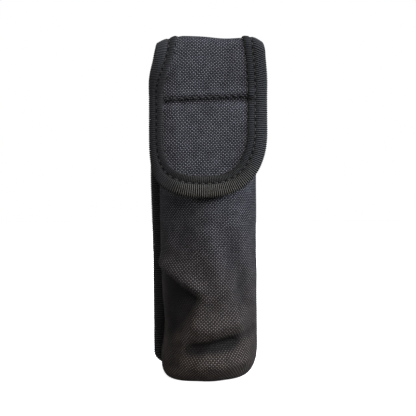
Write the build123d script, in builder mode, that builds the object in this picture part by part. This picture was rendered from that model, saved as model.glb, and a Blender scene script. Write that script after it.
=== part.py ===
from build123d import *
from math import sqrt
import os

# Tactical flashlight carried in a belt holster of woven nylon.
#
# Millimetres. +Z is up, -Y is the holster's front and +Y its belt side. The origin is in the middle
# of the base, under the flashlight's axis. The flashlight stands in the holster with its bezel down
# and its tail switch up. The flap runs from the back panel over the tail and down the front.

# ---- Holster cloth ----
shell = 1.2  # woven nylon, the outer layer
lining = 1.2  # padded lining
stiffener = 0.8  # plastic sheet between the back's layers
tape = 0.6  # ribbed binding tape
tape_leg = 9.0  # how far the tape reaches in from an edge
webbing = 1.6  # belt loop
patch = 1.0  # hook or loop fastener, with its pile
cover_board = 0.6  # plastic sheet in the flap's front
cover_lining_wall = 0.6
base_round = 9.0  # outer rounding of the pouch's base
flange = 2.4  # seam allowance beside the pouch
back_corner = 10.0
body_gap = 0.3  # between two bodies that don't touch

# ---- Flashlight, its diameters ----
head_diameter = 35.0
cell_diameter = 18.5
cell_room = 0.35
tube_wall = 3.1
thread_depth = 1.1  # how much a thread is cut below the tube's surface
thread_play = 0.08
cap_wall = 1.75
reflector_mouth = 25.8
emitter_hole = 6.6
board_diameter = 16.0
lip_opening = 14.0  # hole in the tail cap for the rubber boot

# ---- Flashlight, its lengths from the bezel to the tail ----
bezel_lip = 3.2
bezel_bevel = 1.2
lens_thickness = 1.8
gasket_thickness = 1.0
reflector_depth = 18.0
spacer_thickness = 1.4
board_thickness = 1.6
pill_length = 10.5
pill_plate = 2.5
driver_recess = 2.8
driver_thickness = 1.2
front_spring_length = 4.6
cell_length = 67.0
tail_spring_length = 7.0
switch_board_thickness = 1.2
switch_height = 5.4
boot_flange = 1.4
cap_lip = 3.2
boot_proud = 3.6
head_thread = 8.5
grip_ring_thickness = 3.0

# ---- Holster sizes ----
light_room = 2.1  # between the flashlight's head and the lining
headroom = 15.8  # from the rubber boot to the flap
mouth_below_hinge = 22.4  # the pouch's front edge, under the flap
flap_drop = 71.8  # the flap's front, from its fold
flap_corner = 20.0
flap_overhang = 0.0  # each side, past the back panel
loop_width = 25.0  # belt loop webbing
belt_height = 54.0  # tallest belt, with a little room
belt_thickness = 6.0
ring_inner_width = 19.5
ring_wire = 2.5

# ---- Radii of the holster's cavity ----
head_r = head_diameter / 2
cavity_r = head_r + light_room
lining_r = cavity_r + lining
pouch_r = lining_r + shell


def seat_height(radius, up):
    """Lowest base of the flashlight at which its ring of that radius clears the lining."""
    rounding = base_round - shell - lining
    across = max(radius - (cavity_r - rounding), 0)
    return base_round - sqrt((rounding - body_gap) ** 2 - across**2) - up


# ---- Heights along the flashlight ----
light_base = max(seat_height(head_r - bezel_bevel, 0), seat_height(head_r, bezel_bevel))
lens_seat = light_base + bezel_lip
lens_back = lens_seat + lens_thickness
reflector_front = lens_back + gasket_thickness
reflector_back = reflector_front + reflector_depth
board_front = reflector_back + spacer_thickness
pill_front = board_front + board_thickness
pill_back = pill_front + pill_length
driver_back = pill_back - driver_recess
cell_front = driver_back + front_spring_length
cell_back = cell_front + cell_length
switch_board_front = cell_back + tail_spring_length
switch_board_back = switch_board_front + switch_board_thickness
boot_seat = switch_board_back + switch_height
lip_front = boot_seat + boot_flange
cap_top = lip_front + cap_lip
light_top = cap_top + boot_proud
tube_front = pill_back + 0.6
head_back = tube_front + head_thread
tube_back = cell_back + 1.5
ring_seat = tube_back - 10.0
cap_front = ring_seat + grip_ring_thickness + body_gap
groove_back = ring_seat - 4.0
groove_front = groove_back - 5.0

# ---- Radii of the flashlight ----
tube_bore_r = cell_diameter / 2 + cell_room
tube_r = tube_bore_r + tube_wall
thread_r = tube_r - thread_depth
socket_r = thread_r + thread_play
cap_r = socket_r + cap_wall
groove_r = thread_r + 0.3
lens_r = head_r - 3.0
lens_bore_r = lens_r + 0.2
bezel_thread_r = lens_bore_r + 1.4
pill_r = tube_bore_r + 0.9
cap_bore_r = cap_r - 3.4

# ---- Holster planes ----
seam_y = cavity_r
stack_front = seam_y - shell
lining_back = seam_y + lining
board_back = lining_back + stiffener
stack_back = board_back + shell
hinge_z = light_top + headroom
back_hinge_y = (seam_y + stack_back) / 2
bead_r = (shell + lining) / 2
back_top = hinge_z - bead_r - body_gap
back_half = pouch_r + flange
mouth_z = hinge_z - mouth_below_hinge
loop_patch_front = -pouch_r - patch
hook_front = loop_patch_front - body_gap
cover_back = hook_front - patch
cover_middle = cover_back - cover_lining_wall - cover_board
cover_front = cover_middle - shell
cover_hinge_y = (cover_back + cover_front) / 2
cover_bead_r = (cover_back - cover_front) / 2
cover_half = back_half + flap_overhang
cover_bottom = hinge_z - flap_drop
cover_layer_top = hinge_z - 3.0
bridge_front = cover_hinge_y + cover_bead_r + body_gap


def save(builder, node):
    """Labels a finished piece and writes its STEP file."""
    builder.part.label = node
    export_step(builder.part, f"parts/{node}.step")


def upright(y):
    """The plane at that y, drawn in X and Z; an extrusion from it runs towards the front."""
    return Plane.XZ.offset(-y)


def turned(node, outline):
    """A piece of revolution about the flashlight's axis; outline holds (radius, z) corners."""
    with BuildPart() as piece:
        with BuildSketch(Plane.XZ):
            with BuildLine():
                Polyline(outline, close=True)
            make_face()
        revolve(axis=Axis.Z)
    if node:
        save(piece, node)
    return piece


def ring_outline(inner, outer, low, high):
    """Corners of a rectangular section."""
    return [(inner, low), (outer, low), (outer, high), (inner, high)]


def coil(node, radius, wire, low, high, turns):
    """A round-wire spring about the flashlight's axis, between two planes."""
    start = low + wire / 2
    height = high - low - wire
    with BuildPart() as spring:
        with BuildLine(Plane.XY.offset(start)) as path:
            Helix(pitch=height / turns, height=height, radius=radius)
        with BuildSketch(Plane(origin=path.line @ 0, z_dir=path.line % 0)):
            Circle(wire / 2)
        sweep(path=path.line, is_frenet=True)
    save(spring, node)


# ---- Holster pouch ----
def pouch_section(radius, back, low, high):
    """A prism with a half-round front and straight sides, as the pouch is in plan."""
    with BuildPart() as prism:
        with BuildSketch(Plane.XY.offset(low)):
            with BuildLine():
                side = Line((radius, back), (radius, 0))
                CenterArc((0, 0), radius, 0, -180)
                Line((-radius, 0), (-radius, back))
                Line((-radius, back), side @ 0)
            make_face()
        extrude(amount=high - low)
    return prism


def pouch_core(radius, back, low, high, rounding):
    """The same prism with the edges of its base rounded, apart from the back one."""
    with BuildPart() as core:
        add(pouch_section(radius, back, low, high).part)
        base = core.faces().sort_by(Axis.Z)[0].edges()
        fillet(base.sort_by(Axis.Y)[:-1], rounding)
    return core


def back_plate(grow, back, thickness, top=back_top):
    """The back panel's outline, grown all round but at the top, as a plate."""
    half = back_half + grow
    low = tape - grow
    with BuildPart() as plate:
        with BuildSketch(upright(back)) as outline:
            with Locations((0, (low + top) / 2)):
                Rectangle(2 * half, top - low)
            fillet(outline.vertices().group_by(Axis.Y)[0], max(back_corner + grow, 1.0))
        extrude(amount=thickness)
    return plate


def make_pouch():
    """The front panel with its lining, and the layers of the back."""
    beyond = seam_y + stack_back
    with BuildPart() as front_panel:
        add(pouch_core(pouch_r, seam_y, 0, mouth_z, base_round).part)
        add(back_plate(0, seam_y, shell, mouth_z).part)
        inner = pouch_core(lining_r, beyond, shell, mouth_z + shell, base_round - shell)
        add(inner.part, mode=Mode.SUBTRACT)
    save(front_panel, "front_panel")

    with BuildPart() as front_lining:
        add(pouch_core(lining_r, seam_y, shell, mouth_z, base_round - shell).part)
        floor = shell + lining
        inner = pouch_core(cavity_r, beyond, floor, mouth_z + shell, base_round - floor)
        add(inner.part, mode=Mode.SUBTRACT)
    save(front_lining, "front_lining")

    save(back_plate(0, lining_back, lining), "back_lining")
    save(back_plate(0, board_back, stiffener), "back_stiffener")
    save(back_plate(0, stack_back, shell), "back_panel")


def make_pouch_trim():
    """Binding tape round the back's edge and over the mouth, and the loop fastener."""
    depth = stack_back - stack_front
    with BuildPart() as edge_binding:
        add(back_plate(tape, stack_back + tape, depth + 2 * tape).part)
        add(back_plate(0, stack_back, depth).part, mode=Mode.SUBTRACT)
        add(back_plate(-tape_leg, stack_back + tape, depth + 2 * tape).part, mode=Mode.SUBTRACT)
        add(pouch_core(pouch_r, seam_y, 0, back_top, base_round).part, mode=Mode.SUBTRACT)
    save(edge_binding, "edge_binding")

    low = mouth_z - tape_leg
    back = stack_front - tape - body_gap
    with BuildPart() as mouth_binding:
        add(pouch_section(pouch_r + tape, back, low, mouth_z + tape).part)
        with BuildPart(mode=Mode.PRIVATE) as wall:
            add(pouch_section(pouch_r, seam_y, low, mouth_z).part)
            add(pouch_section(cavity_r, seam_y, low, mouth_z).part, mode=Mode.SUBTRACT)
        add(wall.part, mode=Mode.SUBTRACT)
        inner = pouch_section(cavity_r - tape, seam_y, low, mouth_z + tape)
        add(inner.part, mode=Mode.SUBTRACT)
    save(mouth_binding, "mouth_binding")


def make_fasteners():
    """Loop fastener on the pouch and hook fastener under the flap."""
    width = 0.6 * 2 * pouch_r
    top = mouth_z - tape_leg - 1.0
    low = cover_bottom + tape_leg + 6.0
    with BuildPart() as loop_patch:
        add(pouch_section(pouch_r + patch, pouch_r, low, top).part)
        add(pouch_section(pouch_r, pouch_r, low, top).part, mode=Mode.SUBTRACT)
        with BuildSketch(Plane.XY.offset(low)):
            with Locations((0, -pouch_r)):
                Rectangle(width, pouch_r)
        extrude(amount=top - low, mode=Mode.INTERSECT)
    save(loop_patch, "loop_patch")

    with BuildPart() as hook_patch:
        with BuildSketch(upright(hook_front)):
            with Locations((0, (low + top) / 2)):
                RectangleRounded(width, top - low, 1.5)
        extrude(amount=patch)
    save(hook_patch, "hook_patch")


# ---- Holster's belt side ----
def make_belt_loop():
    """A webbing strap, sewn flat at both ends, that stands off the back for a belt."""
    sewn = 12.0
    slant = 6.0
    high = ring_z - ring_side - ring_arc_r - ring_wire_r - 3.0 - sewn
    low = high - slant - belt_height - slant
    out = stack_back + belt_thickness
    with BuildPart() as belt_loop:
        with BuildSketch(Plane.YZ.offset(-loop_width / 2)):
            with BuildLine():
                corners = [
                    (stack_back, high + sewn),
                    (stack_back, high),
                    (out, high - slant),
                    (out, low + slant),
                    (stack_back, low),
                    (stack_back, low - sewn),
                ]
                FilletPolyline(*corners, radius=2.0)
                offset(amount=webbing, side=Side.LEFT)
            make_face()
        extrude(amount=loop_width)
    save(belt_loop, "belt_loop")


ring_wire_r = ring_wire / 2
tab_wall = 1.2
tab_bore_r = ring_wire_r + 0.25
tab_r = tab_bore_r + tab_wall
ring_y = stack_back + tab_r
ring_z = back_top - 15.0
ring_arc_r = ring_inner_width / 2 + ring_wire_r
ring_side = 4.0


def make_d_ring():
    """A D-shaped wire ring that swings in a webbing tab at the top of the back."""
    tab_width = ring_inner_width - 2.5
    with BuildPart() as d_ring_tab:
        with BuildSketch(Plane.YZ.offset(-tab_width / 2)):
            with Locations((ring_y, ring_z)):
                Circle(tab_r)
            with Locations((stack_back + tab_wall, ring_z + 7.0)):
                Rectangle(2 * tab_wall, 14.0)
            with Locations((ring_y, ring_z)):
                Circle(tab_bore_r, mode=Mode.SUBTRACT)
        extrude(amount=tab_width)
    save(d_ring_tab, "d_ring_tab")

    arc_z = ring_z - ring_side
    with BuildPart() as d_ring:
        with Locations(Location((0, ring_y, ring_z), (0, 90, 0))):
            Cylinder(ring_wire_r, 2 * ring_arc_r)
        for side in (-ring_arc_r, ring_arc_r):
            with Locations((side, ring_y, ring_z)):
                Sphere(ring_wire_r)
            with Locations((side, ring_y, (ring_z + arc_z) / 2)):
                Cylinder(ring_wire_r, ring_side)
        with BuildSketch(Plane.XY.offset(arc_z)):
            with Locations((ring_arc_r, ring_y)):
                Circle(ring_wire_r)
        revolve(axis=Axis((0, ring_y, arc_z), (0, 1, 0)), revolution_arc=180)
    save(d_ring, "d_ring")


# ---- Flap ----
def make_bridge():
    """The flap's top, from the hinge line on the back to the fold at the front."""
    seam_z = hinge_z + bead_r - shell
    with BuildPart() as bridge_shell:
        with BuildSketch(Plane.YZ.offset(-back_half)):
            with Locations(((back_hinge_y + bridge_front) / 2, seam_z + shell / 2)):
                Rectangle(back_hinge_y - bridge_front, shell)
            with Locations((back_hinge_y, hinge_z)):
                Circle(bead_r)
        extrude(amount=2 * back_half)
    save(bridge_shell, "bridge_shell")

    lining_rear = back_hinge_y - bead_r - lining
    with BuildPart() as bridge_lining:
        with BuildSketch(Plane.YZ.offset(-back_half)):
            with Locations(((lining_rear + bridge_front) / 2, seam_z - lining / 2)):
                Rectangle(lining_rear - bridge_front, lining)
        extrude(amount=2 * back_half)
    save(bridge_lining, "bridge_lining")

    rear = stack_front - tape - body_gap
    span = rear - bridge_front
    middle = (rear + bridge_front) / 2
    with BuildPart() as bridge_binding:
        with BuildSketch(Plane.XZ.offset(-rear)):
            with Locations((0, hinge_z)):
                Rectangle(2 * (back_half + tape), 2 * (bead_r + tape))
                Rectangle(2 * back_half, 2 * bead_r, mode=Mode.SUBTRACT)
                Rectangle(2 * (back_half - tape_leg), 4 * bead_r, mode=Mode.SUBTRACT)
        extrude(amount=span)
    save(bridge_binding, "bridge_binding")


def cover_plate(grow, back, thickness, top):
    """The flap front's outline, with its two large corners, as a plate."""
    half = cover_half + grow
    low = cover_bottom - grow
    with BuildPart() as plate:
        with BuildSketch(upright(back)) as outline:
            with Locations((0, (low + top) / 2)):
                Rectangle(2 * half, top - low)
            fillet(outline.vertices().group_by(Axis.Y)[0], max(flap_corner + grow, 1.0))
        extrude(amount=thickness)
    return plate


def make_cover():
    """The flap's front: nylon outside, a plastic sheet, a lining, and tape round the edge."""
    with BuildPart() as cover_shell:
        add(cover_plate(0, cover_middle, shell, hinge_z).part)
        with Locations(Location((0, cover_hinge_y, hinge_z), (0, 90, 0))):
            Cylinder(cover_bead_r, 2 * cover_half)
    save(cover_shell, "cover_shell")
    board_rear = cover_back - cover_lining_wall
    save(cover_plate(0, board_rear, cover_board, cover_layer_top), "cover_stiffener")
    save(cover_plate(0, cover_back, cover_lining_wall, cover_layer_top), "cover_lining")

    depth = cover_back - cover_front
    rear = cover_back + tape
    with BuildPart() as cover_binding:
        add(cover_plate(tape, rear, depth + 2 * tape, cover_layer_top).part)
        add(cover_plate(0, cover_back, depth, cover_layer_top).part, mode=Mode.SUBTRACT)
        window = cover_plate(-tape_leg, rear, depth + 2 * tape, cover_layer_top)
        add(window.part, mode=Mode.SUBTRACT)
    save(cover_binding, "cover_binding")


# ---- Flashlight head ----
def make_bezel():
    """The front ring, with six scallops, that screws into the head and holds the lens."""
    flange_back = light_base + 6.0
    thread_back = flange_back + 3.5
    scallop_r = 2.6
    outline = [
        (lens_r - 1.4, light_base),
        (head_r - bezel_bevel, light_base),
        (head_r, light_base + bezel_bevel),
        (head_r, flange_back),
        (bezel_thread_r, flange_back),
        (bezel_thread_r, thread_back),
        (lens_bore_r, thread_back),
        (lens_bore_r, lens_seat),
        (lens_r - 2.2, lens_seat),
    ]
    with BuildPart() as bezel_ring:
        add(turned(None, outline).part)
        with Locations((0, 0, light_base - scallop_r + 1.2)):
            with PolarLocations(head_r - 2.5, 6):
                Cylinder(
                    scallop_r,
                    12.0,
                    rotation=(0, 90, 0),
                    mode=Mode.SUBTRACT,
                )
    save(bezel_ring, "bezel_ring")


def make_optics():
    """Lens, gasket, reflector, emitter and the board that carries it."""
    with BuildPart() as lens:
        with Locations((0, 0, lens_seat)):
            Cylinder(lens_r, lens_thickness, align=(Align.CENTER, Align.CENTER, Align.MIN))
        chamfer(lens.edges().filter_by(GeomType.CIRCLE), 0.2)
    save(lens, "lens")
    mouth_r = reflector_mouth / 2
    turned("lens_gasket", ring_outline(mouth_r, lens_r, lens_back, reflector_front))

    hole_r = emitter_hole / 2
    rim_back = reflector_front + 1.6
    mid_z = reflector_front + 0.45 * reflector_depth
    with BuildPart() as reflector:
        with BuildSketch(Plane.XZ):
            with BuildLine():
                bowl = ThreePointArc(
                    (mouth_r, reflector_front),
                    (0.8 * mouth_r, mid_z),
                    (hole_r, reflector_back),
                )
                Line(bowl @ 1, (hole_r + 2.2, reflector_back))
                outer = ThreePointArc(
                    (hole_r + 2.2, reflector_back),
                    (0.8 * mouth_r + 1.3, mid_z + 0.6),
                    (mouth_r + 0.5, rim_back),
                )
                Polyline(outer @ 1, (lens_r, rim_back), (lens_r, reflector_front), bowl @ 0)
            make_face()
        revolve(axis=Axis.Z)
    save(reflector, "reflector")

    turned("led_spacer", ring_outline(hole_r, hole_r + 2.2, reflector_back, board_front))
    base = 3.45
    base_height = 0.7
    dome_r = 1.35
    with BuildPart() as led_emitter:
        with Locations((0, 0, board_front - base_height)):
            Box(base, base, base_height, align=(Align.CENTER, Align.CENTER, Align.MIN))
            Sphere(dome_r, arc_size1=-90, arc_size2=0)
    save(led_emitter, "led_emitter")

    with BuildPart() as led_board:
        with Locations((0, 0, board_front)):
            Cylinder(
                board_diameter / 2,
                board_thickness,
                align=(Align.CENTER, Align.CENTER, Align.MIN),
            )
            with PolarLocations(board_diameter / 2, 6):
                Cylinder(1.3, 4 * board_thickness, mode=Mode.SUBTRACT)
    save(led_board, "led_board")


def make_driver():
    """Brass holder behind the emitter, with the driver board and its contact spring."""
    wall = 1.6
    outline = [
        (0, pill_front),
        (pill_r, pill_front),
        (pill_r, pill_back),
        (pill_r - wall, pill_back),
        (pill_r - wall, pill_front + pill_plate),
        (0, pill_front + pill_plate),
    ]
    turned("driver_holder", outline)
    driver_front = driver_back - driver_thickness
    with BuildPart() as driver_board:
        with Locations((0, 0, driver_front)):
            Cylinder(
                pill_r - wall,
                driver_thickness,
                align=(Align.CENTER, Align.CENTER, Align.MIN),
            )
    save(driver_board, "driver_board")
    coil("front_spring", 3.0, 0.7, driver_back, cell_front, 3)


def make_head():
    """The head's aluminium shell: cooling grooves outside, stepped bores inside."""
    front = light_base + 6.0
    bezel_socket = front + 4.0
    wide_back = board_front - 1.0
    groove_start = pill_front - 1.0
    neck_r = tube_r + 0.9
    outer_r = head_r - 0.6
    fins = [(outer_r, front)]
    for fin in range(4):
        z = groove_start + 3.0 * fin
        fins += [(outer_r, z), (outer_r - 1.8, z), (outer_r - 1.8, z + 1.5), (outer_r, z + 1.5)]
    outline = [
        (bezel_thread_r, front),
        *fins,
        (outer_r, groove_start + 12.5),
        (neck_r, head_back - 2.0),
        (neck_r, head_back),
        (thread_r, head_back),
        (thread_r, pill_back),
        (pill_r, pill_back),
        (pill_r, wide_back),
        (lens_bore_r - 0.9, reflector_back - 2.0),
        (lens_bore_r, bezel_socket),
        (bezel_thread_r, bezel_socket),
    ]
    flat_z = front + 5.0
    with BuildPart() as head_shell:
        add(turned(None, outline).part)
        with Locations((0, 0, flat_z)):
            with PolarLocations(outer_r + 4.4, 6):
                Box(10.0, 9.0, 10.0, mode=Mode.SUBTRACT)
    save(head_shell, "head_shell")


# ---- Flashlight body ----
o_ring_wire_r = 0.5
o_ring_r = thread_r - o_ring_wire_r
front_o_ring_z = head_back - 1.6
tail_o_ring_z = cap_front + 1.6


def make_o_ring(node, z):
    """A round seal in the tube's groove."""
    with BuildPart() as o_ring:
        with BuildSketch(Plane.XZ):
            with Locations((o_ring_r, z)):
                Circle(o_ring_wire_r)
        revolve(axis=Axis.Z)
    save(o_ring, node)


def thread_ridges(low, high, pitch):
    """Corners down a threaded length, as rings of the thread's pitch and depth."""
    depth = 0.35
    corners = []
    z = low
    while z + pitch <= high:
        corners += [(thread_r, z), (thread_r, z + 0.4 * pitch), (thread_r - depth, z + 0.7 * pitch)]
        z += pitch
    return [*corners, (thread_r, z)]


def seal_groove(z):
    """Corners of the groove that an O-ring lies in."""
    floor = o_ring_r - o_ring_wire_r
    low = z - o_ring_wire_r - 0.1
    high = z + o_ring_wire_r + 0.1
    return [(thread_r, low), (floor, low), (floor, high), (thread_r, high)]


def make_tube():
    """The knurled tube that holds the cell, threaded at both ends."""
    pitch = 1.0
    outline = [
        (tube_bore_r, tube_front),
        *thread_ridges(tube_front, front_o_ring_z - 1.0, pitch),
        *seal_groove(front_o_ring_z),
        (thread_r, head_back),
        (tube_r, head_back),
        (tube_r, groove_front),
        (groove_r, groove_front),
        (groove_r, groove_back),
        (tube_r, groove_back),
        (tube_r, ring_seat),
        (thread_r, ring_seat),
        *seal_groove(tail_o_ring_z),
        *thread_ridges(tail_o_ring_z + 1.0, tube_back, pitch),
        (thread_r - 0.4, tube_back),
        (tube_bore_r, tube_back),
    ]
    turned("body_tube", outline)
    make_o_ring("head_o_ring", front_o_ring_z)
    make_o_ring("tail_o_ring", tail_o_ring_z)


def make_cell():
    """Lithium cell with a raised button at its head end, and the tail contact spring."""
    button = 1.8
    cell_r = cell_diameter / 2
    outline = [
        (0, cell_front),
        (4.0, cell_front),
        (4.0, cell_front + button),
        (cell_r - 0.5, cell_front + button),
        (cell_r, cell_front + button + 0.5),
        (cell_r, cell_back - 0.5),
        (cell_r - 0.5, cell_back),
        (0, cell_back),
    ]
    turned("battery_cell", outline)
    coil("tail_spring", 3.6, 0.8, cell_back, switch_board_front, 4)


def make_grip_ring():
    """A scalloped ring, clamped by the tail cap, with an eye for a lanyard."""
    ring_r = cap_r + 2.2
    eye_r = cap_r + 1.4
    with BuildPart() as grip_ring:
        with BuildSketch(Plane.XY.offset(ring_seat)):
            Circle(ring_r)
            with PolarLocations(ring_r + 2.0, 8, start_angle=22.5):
                Circle(3.2, mode=Mode.SUBTRACT)
            with Locations((0, eye_r)):
                Circle(2.6)
                Circle(1.25, mode=Mode.SUBTRACT)
            Circle(socket_r, mode=Mode.SUBTRACT)
        extrude(amount=grip_ring_thickness)
    save(grip_ring, "grip_ring")


def make_clip():
    """A sprung steel clip: a split ring in the tube's groove and a blade along the tube."""
    steel = 0.9
    blade_width = 8.0
    blade_length = 42.0
    play = 0.05
    ring_in = groove_r + play
    ring_out = ring_in + steel
    lift = 2.3
    root = groove_back - play
    tip = max(root - blade_length, head_back + 2.0)
    with BuildPart() as pocket_clip:
        with BuildSketch(Plane.XY.offset(groove_front + play)):
            Circle(ring_out)
            Circle(ring_in, mode=Mode.SUBTRACT)
            with Locations((0, ring_out)):
                Rectangle(blade_width, ring_out, mode=Mode.SUBTRACT)
        extrude(amount=root - groove_front - play)
        with BuildSketch(Plane.YZ.offset(-blade_width / 2)):
            with BuildLine():
                corners = [
                    (-ring_in, root),
                    (-ring_in, groove_front + 1.6),
                    (-ring_in - lift, groove_front - 3.0),
                    (-ring_in - 1.4, tip + 5.0),
                    (-ring_in - lift - 0.3, tip),
                ]
                FilletPolyline(*corners, radius=1.2)
                offset(amount=steel, side=Side.RIGHT)
            make_face()
        extrude(amount=blade_width)
    save(pocket_clip, "pocket_clip")


# ---- Tail cap and its switch ----
def make_tail_cap():
    """The fluted cap that screws on to the tube and carries the switch."""
    chamfer_size = 1.8
    opening_r = lip_opening / 2
    outline = [
        (socket_r, cap_front),
        (cap_r - 0.5, cap_front),
        (cap_r, cap_front + 0.5),
        (cap_r, cap_top - chamfer_size),
        (cap_r - chamfer_size, cap_top),
        (opening_r + 1.0, cap_top),
        (opening_r, cap_top - 1.0),
        (opening_r, lip_front),
        (cap_bore_r, lip_front),
        (cap_bore_r, switch_board_front),
        (socket_r, switch_board_front),
    ]
    flute_r = 1.6
    with BuildPart() as tail_cap:
        add(turned(None, outline).part)
        with Locations((0, 0, (cap_front + cap_top) / 2)):
            with PolarLocations(cap_r + flute_r - 0.7, 16):
                Cylinder(flute_r, cap_top - cap_front - 7.0, mode=Mode.SUBTRACT)
    save(tail_cap, "tail_cap")


plunger_r = 2.2
collar_r = 3.0
housing_floor = switch_board_back + 0.8
housing_top = boot_seat - 0.6
collar_top = housing_top - 0.6
collar_bottom = collar_top - 0.6
boot_wall = 1.2
boot_r = lip_opening / 2 - 0.15


def make_switch():
    """Retaining ring, board, switch housing, plunger, its spring, a spacer and the rubber boot."""
    ring_front = switch_board_front - 3.0
    turned("retaining_ring", ring_outline(6.5, socket_r, ring_front, switch_board_front))
    board = ring_outline(0, cap_bore_r, switch_board_front, switch_board_back)
    turned("switch_board", board)

    cavity = collar_r + 0.2
    shaft_hole = plunger_r + 0.1
    housing = [
        (0, switch_board_back),
        (5.2, switch_board_back),
        (5.2, housing_top),
        (shaft_hole, housing_top),
        (shaft_hole, collar_top + 0.1),
        (cavity, collar_top + 0.1),
        (cavity, housing_floor),
        (0, housing_floor),
    ]
    turned("switch_housing", housing)
    plunger_top = light_top - boot_wall - 0.2
    plunger = [
        (0, collar_bottom),
        (collar_r, collar_bottom),
        (collar_r, collar_top),
        (plunger_r, collar_top),
        (plunger_r, plunger_top - 0.5),
        (plunger_r - 0.5, plunger_top),
        (0, plunger_top),
    ]
    turned("switch_plunger", plunger)
    coil("switch_spring", 2.2, 0.35, housing_floor, collar_bottom, 2.5)
    spacer = ring_outline(cap_bore_r - 2.0, cap_bore_r, switch_board_back, boot_seat)
    turned("boot_spacer", spacer)

    dome_r = 3.0
    with BuildPart() as rubber_boot:
        with BuildSketch(Plane.XZ):
            with BuildLine():
                Line((cap_bore_r - 0.1, boot_seat), (cap_bore_r - 0.1, lip_front - 0.1))
                Line((cap_bore_r - 0.1, lip_front - 0.1), (boot_r, lip_front - 0.1))
                Line((boot_r, lip_front - 0.1), (boot_r, light_top - dome_r))
                CenterArc((boot_r - dome_r, light_top - dome_r), dome_r, 0, 90)
                inner_r = boot_r - boot_wall
                inner_top = light_top - boot_wall
                corner = dome_r - boot_wall
                Line((boot_r - dome_r, light_top), (0, light_top))
                Line((0, light_top), (0, inner_top))
                Line((0, inner_top), (inner_r - corner, inner_top))
                CenterArc((inner_r - corner, inner_top - corner), corner, 90, -90)
                Line((inner_r, inner_top - corner), (inner_r, boot_seat))
                Line((inner_r, boot_seat), (cap_bore_r - 0.1, boot_seat))
            make_face()
        revolve(axis=Axis.Z)
    save(rubber_boot, "rubber_boot")


os.makedirs("parts", exist_ok=True)
make_pouch()
make_pouch_trim()
make_fasteners()
make_belt_loop()
make_d_ring()
make_bridge()
make_cover()
make_bezel()
make_optics()
make_driver()
make_head()
make_tube()
make_cell()
make_grip_ring()
make_clip()
make_tail_cap()
make_switch()
print("light from", round(light_base, 2), "to", round(light_top, 2), "hinge at", round(hinge_z, 2))
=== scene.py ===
"""Belt holster with a tactical flashlight: the looks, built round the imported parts.

All sizes are in metres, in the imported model's own frame: +Z up, -Y out of the flap's side.
"""

import math

import bmesh
import bpy
import numpy as np
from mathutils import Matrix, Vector


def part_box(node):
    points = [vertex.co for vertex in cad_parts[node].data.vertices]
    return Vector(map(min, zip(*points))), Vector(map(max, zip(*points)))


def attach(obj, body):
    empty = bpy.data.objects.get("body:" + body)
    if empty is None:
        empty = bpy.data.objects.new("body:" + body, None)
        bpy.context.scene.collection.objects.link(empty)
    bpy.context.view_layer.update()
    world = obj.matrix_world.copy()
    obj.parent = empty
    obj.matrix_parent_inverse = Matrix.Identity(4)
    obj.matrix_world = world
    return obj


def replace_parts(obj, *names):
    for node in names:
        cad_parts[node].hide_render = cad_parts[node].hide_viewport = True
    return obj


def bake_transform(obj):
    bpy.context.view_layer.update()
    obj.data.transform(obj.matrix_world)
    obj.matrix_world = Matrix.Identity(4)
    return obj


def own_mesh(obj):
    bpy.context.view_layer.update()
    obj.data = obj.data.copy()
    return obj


bl_info = {
    "name": "Belt holster with flashlight",
    "version": (1, 0, 0),
    "blender": (4, 5, 0),
    "location": "View3D > Sidebar > Holster",
    "description": "Builds the cloth, tape, stitches and finishes of a belt holster and its light",
    "category": "Object",
}

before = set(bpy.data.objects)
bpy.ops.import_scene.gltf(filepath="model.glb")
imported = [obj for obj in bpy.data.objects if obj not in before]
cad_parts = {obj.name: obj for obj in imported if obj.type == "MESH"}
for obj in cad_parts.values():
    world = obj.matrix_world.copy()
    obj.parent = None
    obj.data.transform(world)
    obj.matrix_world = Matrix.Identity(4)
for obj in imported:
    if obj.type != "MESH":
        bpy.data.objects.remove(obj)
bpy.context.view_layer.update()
MM = 0.001


def extent(node, axis):
    """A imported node's lowest and highest coordinate along one axis, in millimetres."""
    low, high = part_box(node)
    return low[axis] / MM, high[axis] / MM


X, Y, Z = 0, 1, 2
POUCH_R = -extent("front_panel", Y)[0]
MOUTH_Z = extent("front_panel", Z)[1]
SEAM_Y = extent("front_panel", Y)[1]
BACK_HALF = extent("back_panel", X)[1]
BACK_Y = extent("back_panel", Y)[1]
TOP_Z = extent("bridge_shell", Z)[1]
COVER_Y = extent("cover_shell", Y)[0]


# ---- Sizes and colours that a user would change ----
class HolsterSizes(bpy.types.PropertyGroup):
    """Sizes of the holster's cloth and its details."""

    weave_pitch: bpy.props.FloatProperty(
        name="Weave pitch",
        description="Distance between neighbouring yarns of the nylon",
        default=0.00072,
        min=0.0002,
        unit="LENGTH",
    )
    rib_pitch: bpy.props.FloatProperty(
        name="Rib pitch",
        description="Distance between the ribs of the binding tape",
        default=0.0009,
        min=0.0004,
        unit="LENGTH",
    )
    tape_width: bpy.props.FloatProperty(
        name="Tape width",
        description="How far the binding tape reaches in from an edge",
        default=0.008,
        min=0.004,
        unit="LENGTH",
    )
    stitch_length: bpy.props.FloatProperty(
        name="Stitch length",
        description="Length of one stitch with the gap after it",
        default=0.0028,
        min=0.001,
        unit="LENGTH",
    )
    crease_depth: bpy.props.FloatProperty(
        name="Crease depth",
        description="How deep the folds in the pouch's lower end are",
        default=0.0024,
        min=0.0,
        max=0.003,
        unit="LENGTH",
    )
    flap_end: bpy.props.FloatProperty(
        name="Flap's end",
        description="Height of the flap's lowest point above the base",
        default=0.0812,
        min=0.05,
        unit="LENGTH",
    )


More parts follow.
